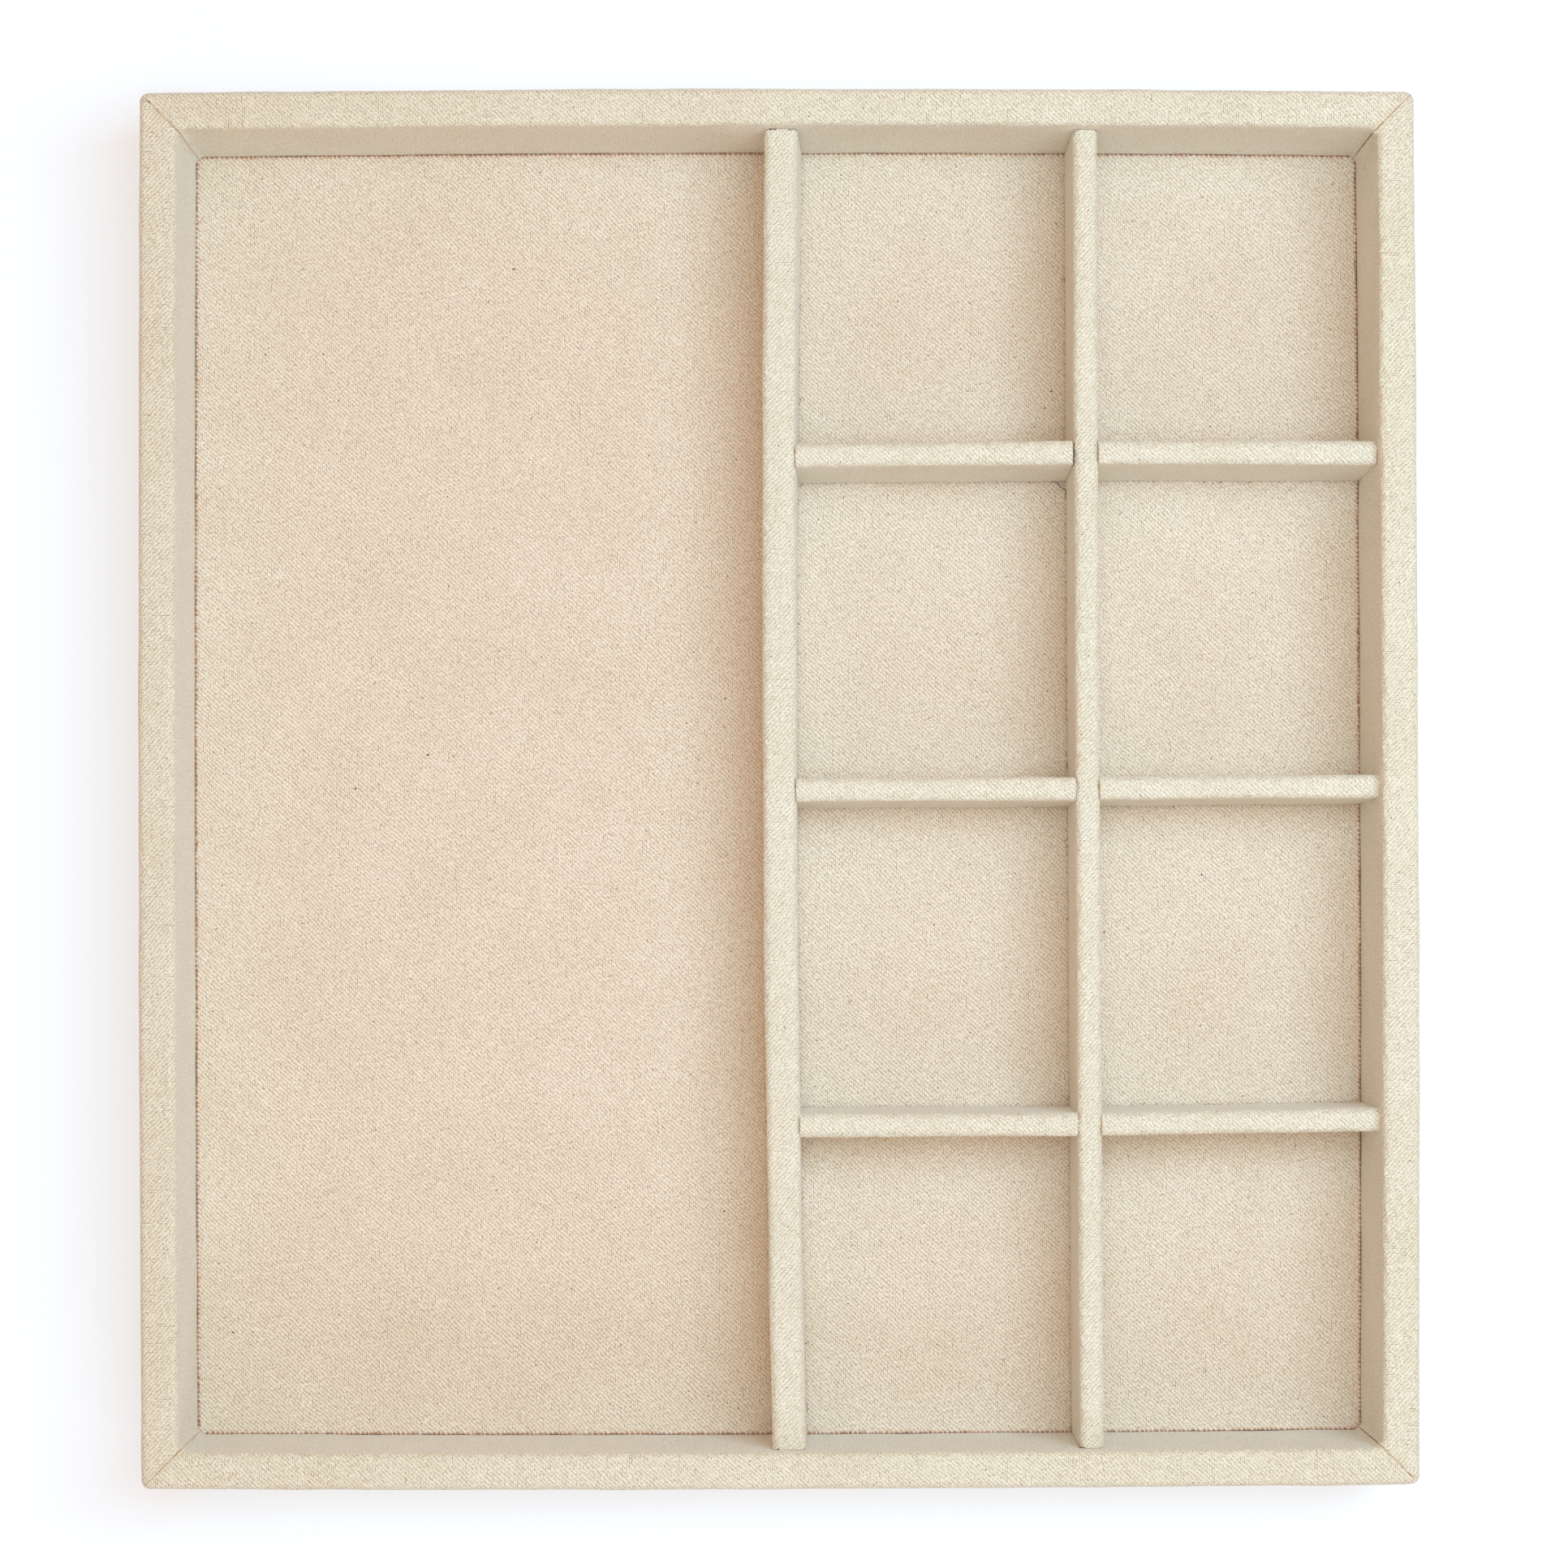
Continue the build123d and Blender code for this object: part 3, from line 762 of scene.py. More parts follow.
def bar_skin(bar, shape, inset, seed=None, roughness=0.0):
    """The rounded skin of a divider, drawn in by an inset: points, faces and places on the cloth."""
    first = bar.near + inset
    last = bar.far - inset
    half_section, half_normals, half_run = bar_section(
        bar.width, bar.foot, bar.top, shape.divider_rounding, FOOT_ROUNDING)
    mirrored = half_section[-2:0:-1] * (-1, 1)
    section = np.concatenate([half_section, mirrored])
    normals = np.concatenate([half_normals, half_normals[-2:0:-1] * (-1, 1)])
    run = np.concatenate([half_run, 2 * half_run[-1] - half_run[-2:0:-1]])
    columns = len(section)

    # At an end the sides turn in on an arc, then run flat to the middle of the end
    radius = max(bar.corner - inset * 0.5, 0.15 * MM)
    angles = np.linspace(0, math.pi / 2, 6)
    flat_end = radius + (bar.width / 2 - inset - radius - 0.02 * MM) * np.array([1.0, 0.7, 0.35])
    pulls = np.concatenate([flat_end, radius * (1 - np.cos(angles[::-1]))])
    reaches = np.concatenate([np.zeros(3), radius * (1 - np.sin(angles[::-1]))])
    start, stop = first + reaches[-1], last - reaches[-1]
    count = math.ceil((stop - start) / STEP)
    between = np.linspace(start, stop, count + 1)
    along = np.concatenate([first + reaches[:-1], between, last - reaches[-2::-1]])
    pull = np.concatenate([pulls[:-1], np.zeros(count + 1), pulls[-2::-1]]) + inset
    rows = len(along)

    reach_x = bar.width / 2
    a = np.broadcast_to(along[:, None], (rows, columns)).copy()
    p = pull[:, None]
    # Drawing the section in keeps its straight runs parallel and tightens its roundings. Towards an end
    # the sides draw in all the way, for upright corners that are round from above, the top only a little
    lowered = inset + (p - inset) * 0.12
    x = section[None, :, 0] - normals[None, :, 0] * p
    z = section[None, :, 1] - normals[None, :, 1] * lowered
    x = np.clip(x, -(reach_x - p), reach_x - p)
    z = np.clip(z, bar.foot + lowered, bar.top - lowered)

    level = (z - bar.foot) / (bar.top - bar.foot)
    share = (a - bar.near) / (bar.far - bar.near)
    sway = bar.stray(a, level)
    lift = np.zeros_like(x)
    if seed is not None:
        wide_run = np.broadcast_to(run, a.shape)
        lift = soft_waves(seed, roughness, shortest=9 * MM, longest=70 * MM)(a, wide_run)
        from_end = np.minimum(a - bar.near, bar.far - a)
        lift = np.clip(lift, -DEEPEST_SINK, None) * ease(from_end, 0, 5 * MM)
        turning = np.clip(2 * np.abs(normals[None, :, 0] * normals[None, :, 1]), 0, 1) * (level > 0.5)
        ruffle = soft_waves(seed + 20, shape.ruffle, *RUFFLE_WAVES)(a, wide_run)
        lift = lift + np.clip(ruffle, -shape.ruffle, shape.ruffle) * turning
    x = x + normals[None, :, 0] * lift * (p < bar.width / 2 - 0.1 * MM) + sway
    z = z + normals[None, :, 1] * lift * (level > 0.5)

    a = a + bar.near_shift(level) * (1 - share) ** 4 + bar.far_shift(level) * share ** 4
    if bar.lengthwise:
        points = np.stack([bar.middle + x, a, z], -1)
    else:
        points = np.stack([a, bar.middle + x, z], -1)
    flip = bar.lengthwise
    faces = [*grid_faces(rows, columns, wrap=True, flip=flip)]
    top = len(half_section) - 1
    for row, outwards in ((0, True), (rows - 1, False)):
        base = row * columns
        for j in range(top):
            ring = [base + j, base + j + 1, base + columns - j - 1, base + (columns - j) % columns]
            ring = list(dict.fromkeys(ring))
            if outwards == flip:
                ring.reverse()
            faces.append(ring)
    to_end = np.broadcast_to(np.minimum(along - bar.near, bar.far - along)[:, None], a.shape)
    lay = a if bar.lengthwise else -a
    # Its sides rise from the crease at its foot
    from_crease = np.minimum(run, 2 * half_run[-1] - run) - bar.width / 2 - CREASE_SHADE_HEIGHT
    to_cut = np.minimum(to_end + pull[:, None] * 0.2, np.broadcast_to(from_crease, a.shape))
    cloth = np.stack([lay, np.broadcast_to(run, a.shape), to_cut], -1)
    return points.reshape(-1, 3), faces, cloth.reshape(-1, 3), run[-1] + half_run[1]


def divider(bar, shape, canvas, cover_material, board_material, seed):
    """A divider's board and the canvas wrapped round it, both following the same stray from straight."""
    outer, outer_faces, cloth, girth = bar_skin(bar, shape, 0.0, seed, canvas.unevenness)
    inner, inner_faces, inner_cloth, _ = bar_skin(bar, shape, canvas.thickness, seed, canvas.unevenness)
    turned = [tuple(k + len(outer) for k in face[::-1]) for face in inner_faces]
    cover = make_object(bar.node + "_cover", np.concatenate([outer, inner]), outer_faces + turned,
                        cover_material, np.concatenate([cloth, inner_cloth]))
    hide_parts(bar.node + "_canvas")
    core, core_faces, _, _ = bar_skin(bar, shape, SKIN)
    board = make_object(bar.node + "_core", core, core_faces, board_material)
    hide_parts(bar.node + "_board")


def bend(middle, skew, curve):
    """How a long divider strays to the right: in the middle, from front to back, towards both ends."""
    def at(share):
        t = 2 * share - 1
        return middle + skew * t + curve * t * t
    return at


def slope(near, far):
    """How a short divider strays backwards, from its left end to its right end."""
    def at(share):
        return near + (far - near) * share
    return at


LONG_DIVIDERS = [
    # node, stray of the top and of the foot, in millimetres: middle, front to back, towards the ends.
    # Then how round its upright corners are
    ("wide_divider", (-0.70, -0.54, 1.15), (-0.10, -0.15, 1.50), 0.6),
    ("narrow_divider", (-0.15, -0.30, 0.15), (0.20, -0.33, 0.05), 0.7),
]
CROSS_DIVIDERS = [
    # node, stray of the top and of the foot, then the gap at each end, in millimetres: left end, right
    # end. Where a gap is under zero, the end presses that far into the canvas beside it
    ("middle_cross_1", (-0.40, -0.40), (-0.12, -0.10), (-0.15, -0.15)),
    ("middle_cross_2", (-0.18, -0.07), (-0.90, -0.68), (-0.15, -0.10)),
    ("middle_cross_3", (-0.14, 0.50), (-0.80, -0.44), (-0.15, 0.26)),
    ("right_cross_1", (-0.30, 0.50), (-0.14, 0.60), (-0.20, -0.16)),
    ("right_cross_2", (0.09, 0.36), (-0.60, -0.14), (-0.20, -0.16)),
    ("right_cross_3", (0.50, 0.30), (-0.37, -0.50), (-0.06, 0.05)),
]


def long_bars(shape):
    """The two dividers that run from front to back, with their ends reaching the bowed walls."""
    bars = []
    for node, top, foot, corner in LONG_DIVIDERS:
        stray = [bend(*[v * MM for v in parts]) for parts in (top, foot)]
        bar = Bar(node, True, *stray, corner * MM)
        tight = 0.26 * MM
        reach_back = wall_bow("back", bar.middle, shape) + tight
        reach_front = wall_bow("front", bar.middle, shape) + tight
        bar.near_shift = lambda level, reach=reach_front: -reach + 0 * level
        bar.far_shift = lambda level, reach=reach_back: reach + 0 * level
        bars.append(bar)
    return bars


def fitted(shift, follow, place, gap, shut):
    """An end's shift that follows its neighbour's stray, with a gap that closes towards the foot. A shut
    of 1 or -1 says which way opens the gap."""
    def at(level):
        neighbour = follow(place, level) if follow else 0
        return shift + neighbour + (gap * level ** 8 if gap * shut > 0 else gap)
    return at


def cross_bars(shape, long_ones):
    """The six short dividers, with their ends cut to what they butt against."""
    wide, narrow = long_ones
    bars = []
    for node, top, foot, gaps in CROSS_DIVIDERS:
        stray = [slope(*[v * MM for v in parts]) for parts in (top, foot)]
        bar = Bar(node, False, *stray, CROSS_CORNER)
        left, right = (wide, narrow) if node.startswith("middle") else (narrow, None)
        before = left.middle + left.width / 2 - bar.near
        bar.near_shift = fitted(before, left.stray, bar.middle, gaps[0] * MM, 1)
        if right:
            right_face, follow = right.middle - right.width / 2, right.stray
        else:
            right_face, follow = HIGHEST.x - RAIL + wall_bow("right", bar.middle, shape), None
        after = right_face - bar.far
        bar.far_shift = fitted(after, follow, bar.middle, -gaps[1] * MM, -1)
        bars.append(bar)
    return bars


# Loose fibres and flecks

def tube(path, radius, sides=5):
    """Points and faces of a thin tapered tube through the path's points."""
    path = np.array(path, float)
    ahead = np.gradient(path, axis=0)
    ahead /= np.linalg.norm(ahead, axis=1)[:, None] + 1e-12
    side = np.cross(ahead, (0.13, 0.21, 0.97))
    side /= np.linalg.norm(side, axis=1)[:, None] + 1e-12
    upper = np.cross(side, ahead)
    angles = np.arange(sides) * 2 * math.pi / sides
    widths = radius * np.concatenate([[0.5], np.ones(len(path) - 2), [0.45]])
    ring = np.cos(angles)[None, :, None] * side[:, None, :]
    ring = ring + np.sin(angles)[None, :, None] * upper[:, None, :]
    points = (path[:, None, :] + ring * widths[:, None, None]).reshape(-1, 3)
    return points, tube_faces(len(path), sides)


def gathered(name, parts, material):
    """One object from many small closed shapes."""
    points, faces, count = [], [], 0
    for more_points, more_faces in parts:
        points.append(more_points)
        faces += [tuple(k + count for k in face) for face in more_faces]
        count += len(more_points)
    return make_object(name, np.concatenate(points), faces, material)


def curl(draw, start, heading, length, rise, wobble, steps=5):
    """A short fibre that leaves its start along a heading, lifts, and wanders."""
    path = [np.array(start, float)]
    angle = heading
    for k in range(steps):
        angle += draw.uniform(-wobble, wobble)
        stride = length / steps
        lift = rise * math.sin(math.pi * (k + 0.5) / steps) / steps
        path.append(path[-1] + np.array([math.cos(angle) * stride, math.sin(angle) * stride, lift]))
    return path


def strands(draw, start, end, radius):
    """Short lengths of thread, one after another with gaps, from start to end."""
    start, end = np.array(start, float) * MM, np.array(end, float) * MM
    whole = np.linalg.norm(end - start)
    parts, place = [], 0.0
    while place < whole:
        length = min(draw.uniform(0.6, 1.6) * MM, whole - place)
        path = [start + (end - start) * (place + length * k / 4) / whole
                + np.array([draw.gauss(0, 0.04) * MM for _ in range(3)]) for k in range(5)]
        parts.append(tube(path, radius * draw.uniform(0.7, 1.1)))
        place += length + draw.uniform(0.1, 0.9) * MM
    return parts


def chip(draw, centre, size, flat=0.45):
    """An uneven little flake: a squashed ball with its points moved about."""
    rings, sides = 4, 7
    points = []
    for i in range(rings + 1):
        tilt = math.pi * (i + 0.35) / (rings + 0.7)
        for k in range(sides):
            turn = 2 * math.pi * k / sides
            out = size / 2 * draw.uniform(0.75, 1.15)
            points.append((centre[0] + out * math.sin(tilt) * math.cos(turn),
                           centre[1] + out * math.sin(tilt) * math.sin(turn) * 0.8,
                           centre[2] + out * math.cos(tilt) * flat))
    return np.array(points), tube_faces(rings + 1, sides)


SEED_FLECKS = [
    # X and Y on the floor and size, in millimetres
    (-59.8, 119.4, 0.55), (-116.3, 100.0, 0.5), (-103.2, 100.0, 0.45), (-79.6, 8.9, 0.6),
    (-12.1, 21.6, 0.5), (-96.0, 1.3, 0.5), (-12.6, -94.9, 0.5), (-16.3, -136.8, 0.5),
    (-124.0, -122.0, 0.55), (35.3, -30.0, 0.45), (40.9, 142.6, 0.4), (96.2, -18.8, 0.45),
    (74.0, -31.7, 0.45), (33.5, 126.0, 0.4), (60.9, 87.5, 0.45), (58.5, 83.2, 0.4), (62.4, 91.3, 0.5),
    (65.5, 91.3, 0.4),
]
HAIR = [
    # X and Y of the loose dark hair, in millimetres, from the back of the cell to the right
    (62.2, 70.3), (62.7, 70.8), (63.2, 70.8), (63.7, 70.5), (64.1, 70.0), (64.4, 69.5), (65.0, 69.2),
    (65.5, 69.0), (65.6, 68.4), (65.6, 67.7), (65.9, 67.1), (66.2, 66.6), (66.1, 66.0), (65.9, 65.3),
    (65.7, 64.4),
]
SEAM_THREADS = [
    # Both ends of each stretch of brown thread that shows in a seam, in millimetres
    ((-137.9, 150.9, 38.0), (-137.1, 150.0, 38.0)), ((-131.2, 144.3, 33.0), (-131.1, 144.1, 26.0)),
    ((-131.1, 144.1, 18.0), (-131.1, 144.1, 12.0)), ((130.95, 143.95, 36.4), (131.1, 144.1, 8.0)),
    ((130.95, -143.95, 36.4), (131.1, -144.1, 8.0)), ((138.0, -151.0, 38.0), (137.2, -150.2, 38.0)),
    ((-1.9, 145.55, 33.62), (-0.2, 145.6, 33.62)), ((2.4, 145.5, 33.5), (3.4, 145.4, 33.4)),
    ((-1.1, -145.3, 33.4), (0.8, -145.3, 33.4)), ((1.9, -145.3, 33.3), (3.1, -145.3, 33.3)),
    ((65.6, -145.2, 33.3), (70.2, -145.2, 33.3)), ((65.4, 76.3, 32.9), (65.35, 71.3, 32.9)),
]


class TRAY_OT_wall_canvases(bpy.types.Operator):
    """Wraps the four walls in canvas, mitred at the corners"""

    bl_idname = "tray.wall_canvases"
    bl_label = "Wall canvases"

    def execute(self, context):
        shape, canvas = context.scene.tray_shape, context.scene.tray_canvas
        material = cotton_canvas("cotton_canvas_walls", canvas, canvas.yarn, canvas.hollow, seed=1.0,
                                 gaps=0.75, glue=0.45)
        board = fibreboard()
        for seed, side in enumerate(WALLS, 11):
            wall_core(side, shape, board)
            wall_cover(side, seed, shape, canvas, material, LOOSE_SPOTS.get(side, ()))
        return {"FINISHED"}


class TRAY_OT_floor_canvas(bpy.types.Operator):
    """Lays the floor canvas over its card"""

    bl_idname = "tray.floor_canvas"
    bl_label = "Floor canvas"

    def execute(self, context):
        shape, canvas = context.scene.tray_shape, context.scene.tray_canvas
        material = cotton_canvas("cotton_canvas_floor", canvas, canvas.floor_yarn, canvas.floor_hollow,
                                 seed=2.0, gaps=0.70, glue=0.0)
        floor_cover(shape, canvas, material)
        return {"FINISHED"}


class TRAY_OT_dividers(bpy.types.Operator):
    """Wraps the long and the cross dividers in canvas"""

    bl_idname = "tray.dividers"
    bl_label = "Dividers"

    def execute(self, context):
        shape, canvas = context.scene.tray_shape, context.scene.tray_canvas
        cover = cotton_canvas("cotton_canvas_dividers", canvas, canvas.divider_yarn,
                              canvas.divider_hollow, seed=3.0, gaps=0.6, glue=0.12)
        board = bpy.data.materials.get("sanded_fibreboard") or fibreboard()
        long_ones = long_bars(shape)
        for seed, bar in enumerate(long_ones + cross_bars(shape, long_ones), 51):
            divider(bar, shape, canvas, cover, board, seed)
        return {"FINISHED"}


class TRAY_OT_underside_felt(bpy.types.Operator):
    """Glues the felt sheet under the tray"""

    bl_idname = "tray.underside_felt"
    bl_label = "Underside felt"

    def execute(self, context):
        low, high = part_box("underside_felt")
        thickness = high.z - low.z
        step = 3 * MM
        roll = 0.3 * MM
        edge = np.array([0.0, 0.3, 0.7, 1.0]) * roll
        half_x, half_y = high.x, high.y

        def spread(half):
            flat = np.linspace(-half + roll, half - roll, math.ceil(2 * half / step))
            return np.concatenate([-half + edge[:-1], flat, half - edge[-2::-1]])

        x, y = np.meshgrid(spread(half_x), spread(half_y), indexing="ij")
        inset = np.minimum(half_x - np.abs(x), half_y - np.abs(y))
        rounding = roll - np.sqrt(np.clip(roll ** 2 - (roll - np.clip(inset, 0, roll)) ** 2, 0, None))
        ragged = soft_waves(71, 0.12 * MM, 3 * MM, 16 * MM, 14)(x, y) * ease(-inset, -3 * MM, 0)
        nap = soft_waves(72, 0.03 * MM, 4 * MM, 30 * MM, 12)(x, y)
        near_x = half_x - np.abs(x) < half_y - np.abs(y)
        wide = x + np.sign(x) * ragged * near_x
        deep = y + np.sign(y) * ragged * ~near_x
        nap = np.clip(nap, 0, None) * (rounding < 1e-9)
        under = np.stack([wide, deep, low.z + rounding * 0.9 + nap], -1)
        over = np.stack([wide, deep, high.z - rounding * 0.6], -1)
        # The grid is walked against X, so that its outside looks down
        cloth = np.stack([x, y, inset], -1)
        sheet = [grid[::-1] for grid in (under, over, cloth)]
        piece = sheet_object("underside_felt_sheet", *sheet, needled_felt())
        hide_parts("underside_felt")
        return {"FINISHED"}


class TRAY_OT_boards_and_brads(bpy.types.Operator):
    """Gives the base board, the floor card and the brads their finish"""

    bl_idname = "tray.boards_and_brads"
    bl_label = "Boards and brads"

    def execute(self, context):
        board = bpy.data.materials.get("sanded_fibreboard") or fibreboard()
        finishes = {"base_board": board, "floor_card": grey_board()}
        steel = drawn_steel()
        finishes.update({"corner_brads": steel, "base_brads": steel})
        for node, material in finishes.items():
            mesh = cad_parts[node].data
            mesh.materials.clear()
            mesh.materials.append(material)
        return {"FINISHED"}


class TRAY_OT_fibres_and_flecks(bpy.types.Operator):
    """Adds the frayed threads, seed flecks and the loose hair"""

    bl_idname = "tray.fibres_and_flecks"
    bl_label = "Fibres and flecks"

    def execute(self, context):
        draw = random.Random(90)
        pale = loose_fibre("loose_cotton_fibre", "#E9DDC3", "#B58F62")
        glued = loose_fibre("glue_stained_fibre", "#B9834E", "#6E4428")
        dark = loose_fibre("dark_fibre", "#5E3626", "#351C13")
        husk = loose_fibre("seed_husk", "#8B6947", "#4F3827")

        # Glue-stained thread ends along the crease round the floor and at the dividers' feet
        shape = context.scene.tray_shape
        ends = []

        def lay_ends(heading, half, spot_at, height, spacing):
            place = -half + 1 * MM
            while place < half - 1 * MM:
                spot = spot_at(place)
                turn = heading + draw.gauss(0, 0.35) + draw.choice((0, math.pi))
                start = (spot[0], spot[1], height - draw.uniform(0.0, 0.25) * MM)
                path = curl(draw, start, turn, draw.uniform(0.3, 1.2) * MM, 0.12 * MM, 0.5, 4)
                ends.append(tube(path, draw.uniform(0.04, 0.085) * MM, 4))
                place += draw.uniform(0.25, 2.2) * spacing

        for side in WALLS:
            inward, forward, half, face = wall_sizes(side)

            def at_wall(place):
                out = face - RAIL + wall_bow(side, place, shape) - 0.22 * MM
                return forward * place - inward * out
            heading = math.atan2(forward[1], forward[0])
            lay_ends(heading, half - RAIL, at_wall, FLOOR_TOP - 0.15 * MM, 1.0 * MM)
        long_ones = long_bars(shape)
        for bar in long_ones + cross_bars(shape, long_ones):
            half, centre = (bar.far - bar.near) / 2, (bar.far + bar.near) / 2
            for sign in (-1, 1):
                def at_foot(place):
                    aside = bar.middle + sign * (bar.width / 2 - 0.03 * MM)
                    aside = aside + bar.stray(centre + place, 0)
                    return (aside, centre + place) if bar.lengthwise else (centre + place, aside)
                lay_ends(math.pi / 2 * bar.lengthwise, half, at_foot, FLOOR_TOP + 0.10 * MM, 1.3 * MM)
        gathered("crease_thread_ends", ends, glued)

        # Frayed ends along the four mitres, on the rim and down the inner corners
        frays = []

        def fray(spot, height, heading, lengths, rise, radii):
            path = curl(draw, (*spot, height), heading, draw.uniform(*lengths) * MM, rise * MM, 0.6)
            frays.append(tube(path, draw.uniform(*radii) * MM))

        for sx, sy in ((-1, -1), (-1, 1), (1, -1), (1, 1)):
            corner = np.array([sx * HIGHEST.x, sy * HIGHEST.y])
            toward = np.array([-sx, -sy], float)
            inwards = math.atan2(toward[1], toward[0])
            for _ in range(16):
                spot = corner + toward * (draw.uniform(1.6, 8.0) * MM)
                heading = inwards + draw.choice((0, math.pi)) + draw.gauss(0, 0.6)
                fray(spot, RIM_HEIGHT - 0.18 * MM, heading, (0.4, 1.3), 0.22, (0.04, 0.075))
            for _ in range(12):
                spot = corner + toward * (RAIL + 0.1 * MM)
                height = draw.uniform(FLOOR_TOP, RIM_HEIGHT - 1 * MM)
                fray(spot, height, inwards + draw.gauss(0, 0.7), (0.3, 0.9), 0.3, (0.05, 0.09))
        gathered("mitre_frays", frays, pale)
        soil_and_shade = loose_fibre("soiled_thread", "#84502C", "#4E2C19")
        seams = [part for start, end in SEAM_THREADS for part in strands(draw, start, end, 0.10 * MM)]
        gathered("seam_threads", seams, soil_and_shade)

        flecks = [chip(draw, (x * MM, y * MM, FLOOR_TOP + 0.1 * MM), size * MM)
                  for x, y, size in SEED_FLECKS]
        gathered("seed_flecks", flecks, husk)
        # The hair lies on the cloth, with every other point a little higher
        hair = [(x * MM, y * MM, FLOOR_TOP + (0.12 + 0.12 * (k % 2)) * MM)
                for k, (x, y) in enumerate(HAIR)]
        gathered("loose_hair", [tube(hair, 0.075 * MM, 6)], dark)
        return {"FINISHED"}


# Stage

LAMPS = {
    # name: place, width and length, in metres, and colour
    "key_lamp": ((0.17, 0.06, 0.66), (0.30, 0.60), "#C1E6FF"),
    "low_lamp": ((0.10, -0.60, 0.42), (0.80, 0.30), "#C8E7FF"),
}
PAPER_REACH = 30
# The paper lies a hair under the tray, so that from below it doesn't cut into the felt
PAPER_LEVEL = -0.1 * MM
PAPER_GLOW = 1.88
GLOW_SHARE = 0.25
# The photograph's width, and the point of it straight below the camera, in pixels from the top left
PHOTO_WIDTH = 1932
BELOW_CAMERA = (922, 1141)
# The camera's place over the tray, and its tilts to the back, to the right and about its own line
CAMERA_SPOT = (-6.92 * MM, -30.18 * MM)
CAMERA_TILTS = [math.radians(angle) for angle in (0.5, 0.45, -0.16)]
FILM_WIDTH = 36.0


def seen_directly(tree):
    """1 for what the eye sees, also in or through something shiny or clear, and 0 for other light."""
    path = add_node(tree, "LightPath")
    seen = maths(tree, "MAXIMUM", path.outputs["Is Camera Ray"], path.outputs["Is Glossy Ray"])
    return maths(tree, "MAXIMUM", seen, path.outputs["Is Transmission Ray"])


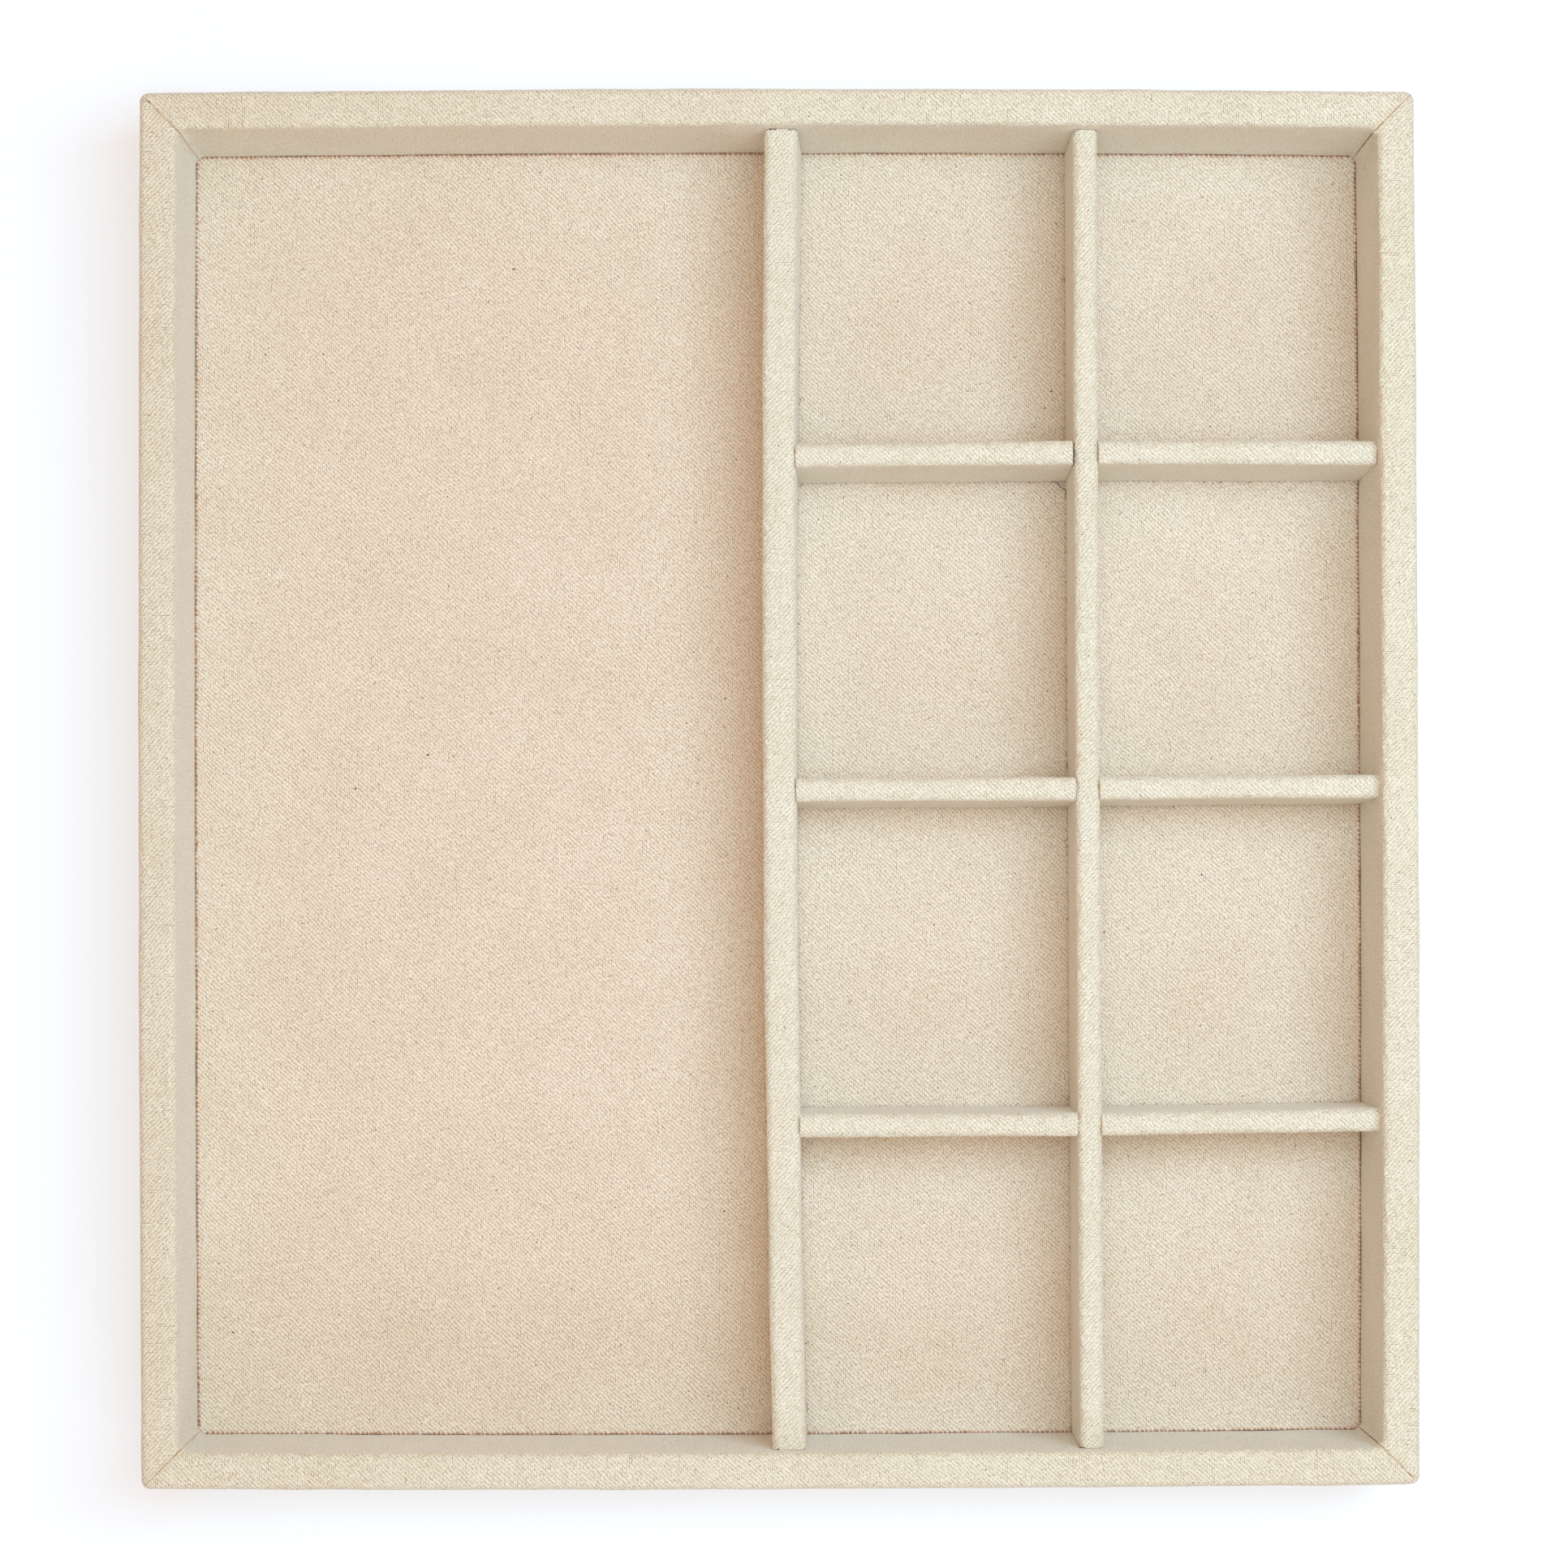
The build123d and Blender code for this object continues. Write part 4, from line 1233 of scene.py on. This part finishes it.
class TRAY_OT_stage(bpy.types.Operator):
    """Sets the studio floor, the lamps, the sky and the camera"""

    bl_idname = "tray.stage"
    bl_label = "Stage"

    def execute(self, context):
        stage = context.scene.tray_stage
        self.floor()
        self.sky(context.scene, stage)
        self.lamp("key_lamp", stage.key_power)
        self.lamp("low_lamp", stage.low_power)
        self.camera(context.scene, stage)
        context.scene.view_settings.view_transform = "Standard"
        return {"FINISHED"}

    def floor(self):
        """A pale paper floor, which the eye sees white, with a faint shadow."""
        mesh = bpy.data.meshes.new("studio_floor")
        corners = [(-1, -1), (1, -1), (1, 1), (-1, 1)]
        mesh.from_pydata([(x * PAPER_REACH, y * PAPER_REACH, PAPER_LEVEL) for x, y in corners], [],
                         [(0, 1, 2, 3)])
        material, tree, shader = new_material("matt_paper", 1.0, Specular_IOR_Level=0.0)
        seen = seen_directly(tree)
        # To the eye the paper is faintly blue, so that its shadow stays grey under the warm sky
        paper = blended(tree, seen, (0.75, 0.75, 0.75, 1), (0.78, 0.88, 0.99, 1))
        tree.links.new(paper, shader.inputs["Base Color"])
        # A glow of its own whitens it, and leaves the rest of its shadow
        glow = add_node(tree, "Emission", {"Color": (1, 1, 1, 1), "Strength": PAPER_GLOW})
        share = maths(tree, "MULTIPLY", seen, GLOW_SHARE)
        whitened = add_node(tree, "MixShader", {0: share, 1: shader, 2: glow})
        # From below the paper is clear and lets light through, so that the tray's underside can be seen
        below = add_node(tree, "NewGeometry").outputs["Backfacing"]
        clear = add_node(tree, "BsdfTransparent")
        sided = add_node(tree, "MixShader", {0: below, 1: whitened, 2: clear})
        tree.links.new(sided.outputs[0], tree.nodes["Material Output"].inputs["Surface"])
        mesh.materials.append(material)
        floor = bpy.data.objects.new("studio_floor", mesh)
        floor.visible_shadow = floor.visible_diffuse = False
        bpy.context.scene.collection.objects.link(floor)

    def sky(self, scene, stage):
        """Even light, warm from above and cool from below, in place of what the paper throws back. The
        camera sees it as white."""
        world = bpy.data.worlds.new("studio_sky")
        scene.world = world
        world.use_nodes = True
        tree = world.node_tree
        backdrop = tree.nodes["Background"]
        seen = seen_directly(tree)
        heading = add_node(tree, "TexCoord").outputs["Generated"]
        low = maths(tree, "LESS_THAN", add_node(tree, "SeparateXYZ", {0: heading}).outputs["Z"], 0.0)
        around = add_node(tree, "Mix", {0: low, 2: stage.sky, 3: stage.bounce}, data_type="FLOAT")
        level = add_node(tree, "Mix", {0: seen, 2: around, 3: 1.0}, data_type="FLOAT")
        cast = blended(tree, low, linear("#FFCFA6"), linear("#EAF4FF"))
        tree.links.new(level.outputs[0], backdrop.inputs["Strength"])
        tree.links.new(blended(tree, seen, cast, (1, 1, 1, 1)), backdrop.inputs["Color"])

    def lamp(self, name, power):
        """A large soft lamp that looks at the middle of the tray."""
        place, (width, depth), shade = LAMPS[name]
        light = bpy.data.lights.new(name, "AREA")
        light.shape = "RECTANGLE"
        light.size, light.size_y = width, depth
        light.energy = power
        light.color = linear(shade)[:3]
        lamp = bpy.data.objects.new(name, light)
        bpy.context.scene.collection.objects.link(lamp)
        lamp.location = place
        lamp.rotation_mode = "QUATERNION"
        lamp.rotation_quaternion = lamp.location.to_track_quat("Z", "Y")
        lamp.visible_camera = False

    def camera(self, scene, stage):
        """Looks straight down, left of the middle and in front of it, with the film shifted to suit."""
        tilt_back, tilt_right, roll = CAMERA_TILTS
        reach = stage.lens / FILM_WIDTH * PHOTO_WIDTH
        data = bpy.data.cameras.new("camera")
        data.sensor_width = FILM_WIDTH
        data.lens = stage.lens
        across, down = BELOW_CAMERA
        data.shift_x = (PHOTO_WIDTH / 2 - across - reach * math.tan(tilt_right)) / PHOTO_WIDTH
        data.shift_y = (down - reach * math.tan(tilt_back) - PHOTO_WIDTH / 2) / PHOTO_WIDTH
        data.clip_start, data.clip_end = 0.01, 100
        camera = bpy.data.objects.new("camera", data)
        scene.collection.objects.link(camera)
        camera.location = (*CAMERA_SPOT, RIM_HEIGHT + stage.camera_height)
        camera.rotation_euler = Euler((tilt_back, -tilt_right, roll))
        scene.camera = camera


OPERATORS = [
    TRAY_OT_wall_canvases, TRAY_OT_floor_canvas, TRAY_OT_dividers, TRAY_OT_underside_felt,
    TRAY_OT_boards_and_brads, TRAY_OT_fibres_and_flecks, TRAY_OT_stage,
]


class TRAY_PT_panel(bpy.types.Panel):
    """Lists the tray's sizes, colours and pieces"""

    bl_label = "Jewelry Tray"
    bl_idname = "TRAY_PT_panel"
    bl_space_type = "VIEW_3D"
    bl_region_type = "UI"
    bl_category = "Jewelry Tray"

    def draw(self, context):
        for group in SETTINGS:
            box = self.layout.box()
            settings = getattr(context.scene, group)
            for name in SETTINGS[group].__annotations__:
                box.prop(settings, name)
        for operator in OPERATORS:
            self.layout.operator(operator.bl_idname)


def register():
    for group, settings in SETTINGS.items():
        bpy.utils.register_class(settings)
        setattr(bpy.types.Scene, group, bpy.props.PointerProperty(type=settings))
    for cls in [*OPERATORS, TRAY_PT_panel]:
        bpy.utils.register_class(cls)


def unregister():
    for cls in reversed([*OPERATORS, TRAY_PT_panel]):
        bpy.utils.unregister_class(cls)
    for group, settings in SETTINGS.items():
        delattr(bpy.types.Scene, group)
        bpy.utils.unregister_class(settings)


def main():
    register()
    bpy.ops.tray.wall_canvases()
    bpy.ops.tray.floor_canvas()
    bpy.ops.tray.dividers()
    bpy.ops.tray.underside_felt()
    bpy.ops.tray.boards_and_brads()
    bpy.ops.tray.fibres_and_flecks()
    bpy.ops.tray.stage()


if __name__ == "__main__":
    main()
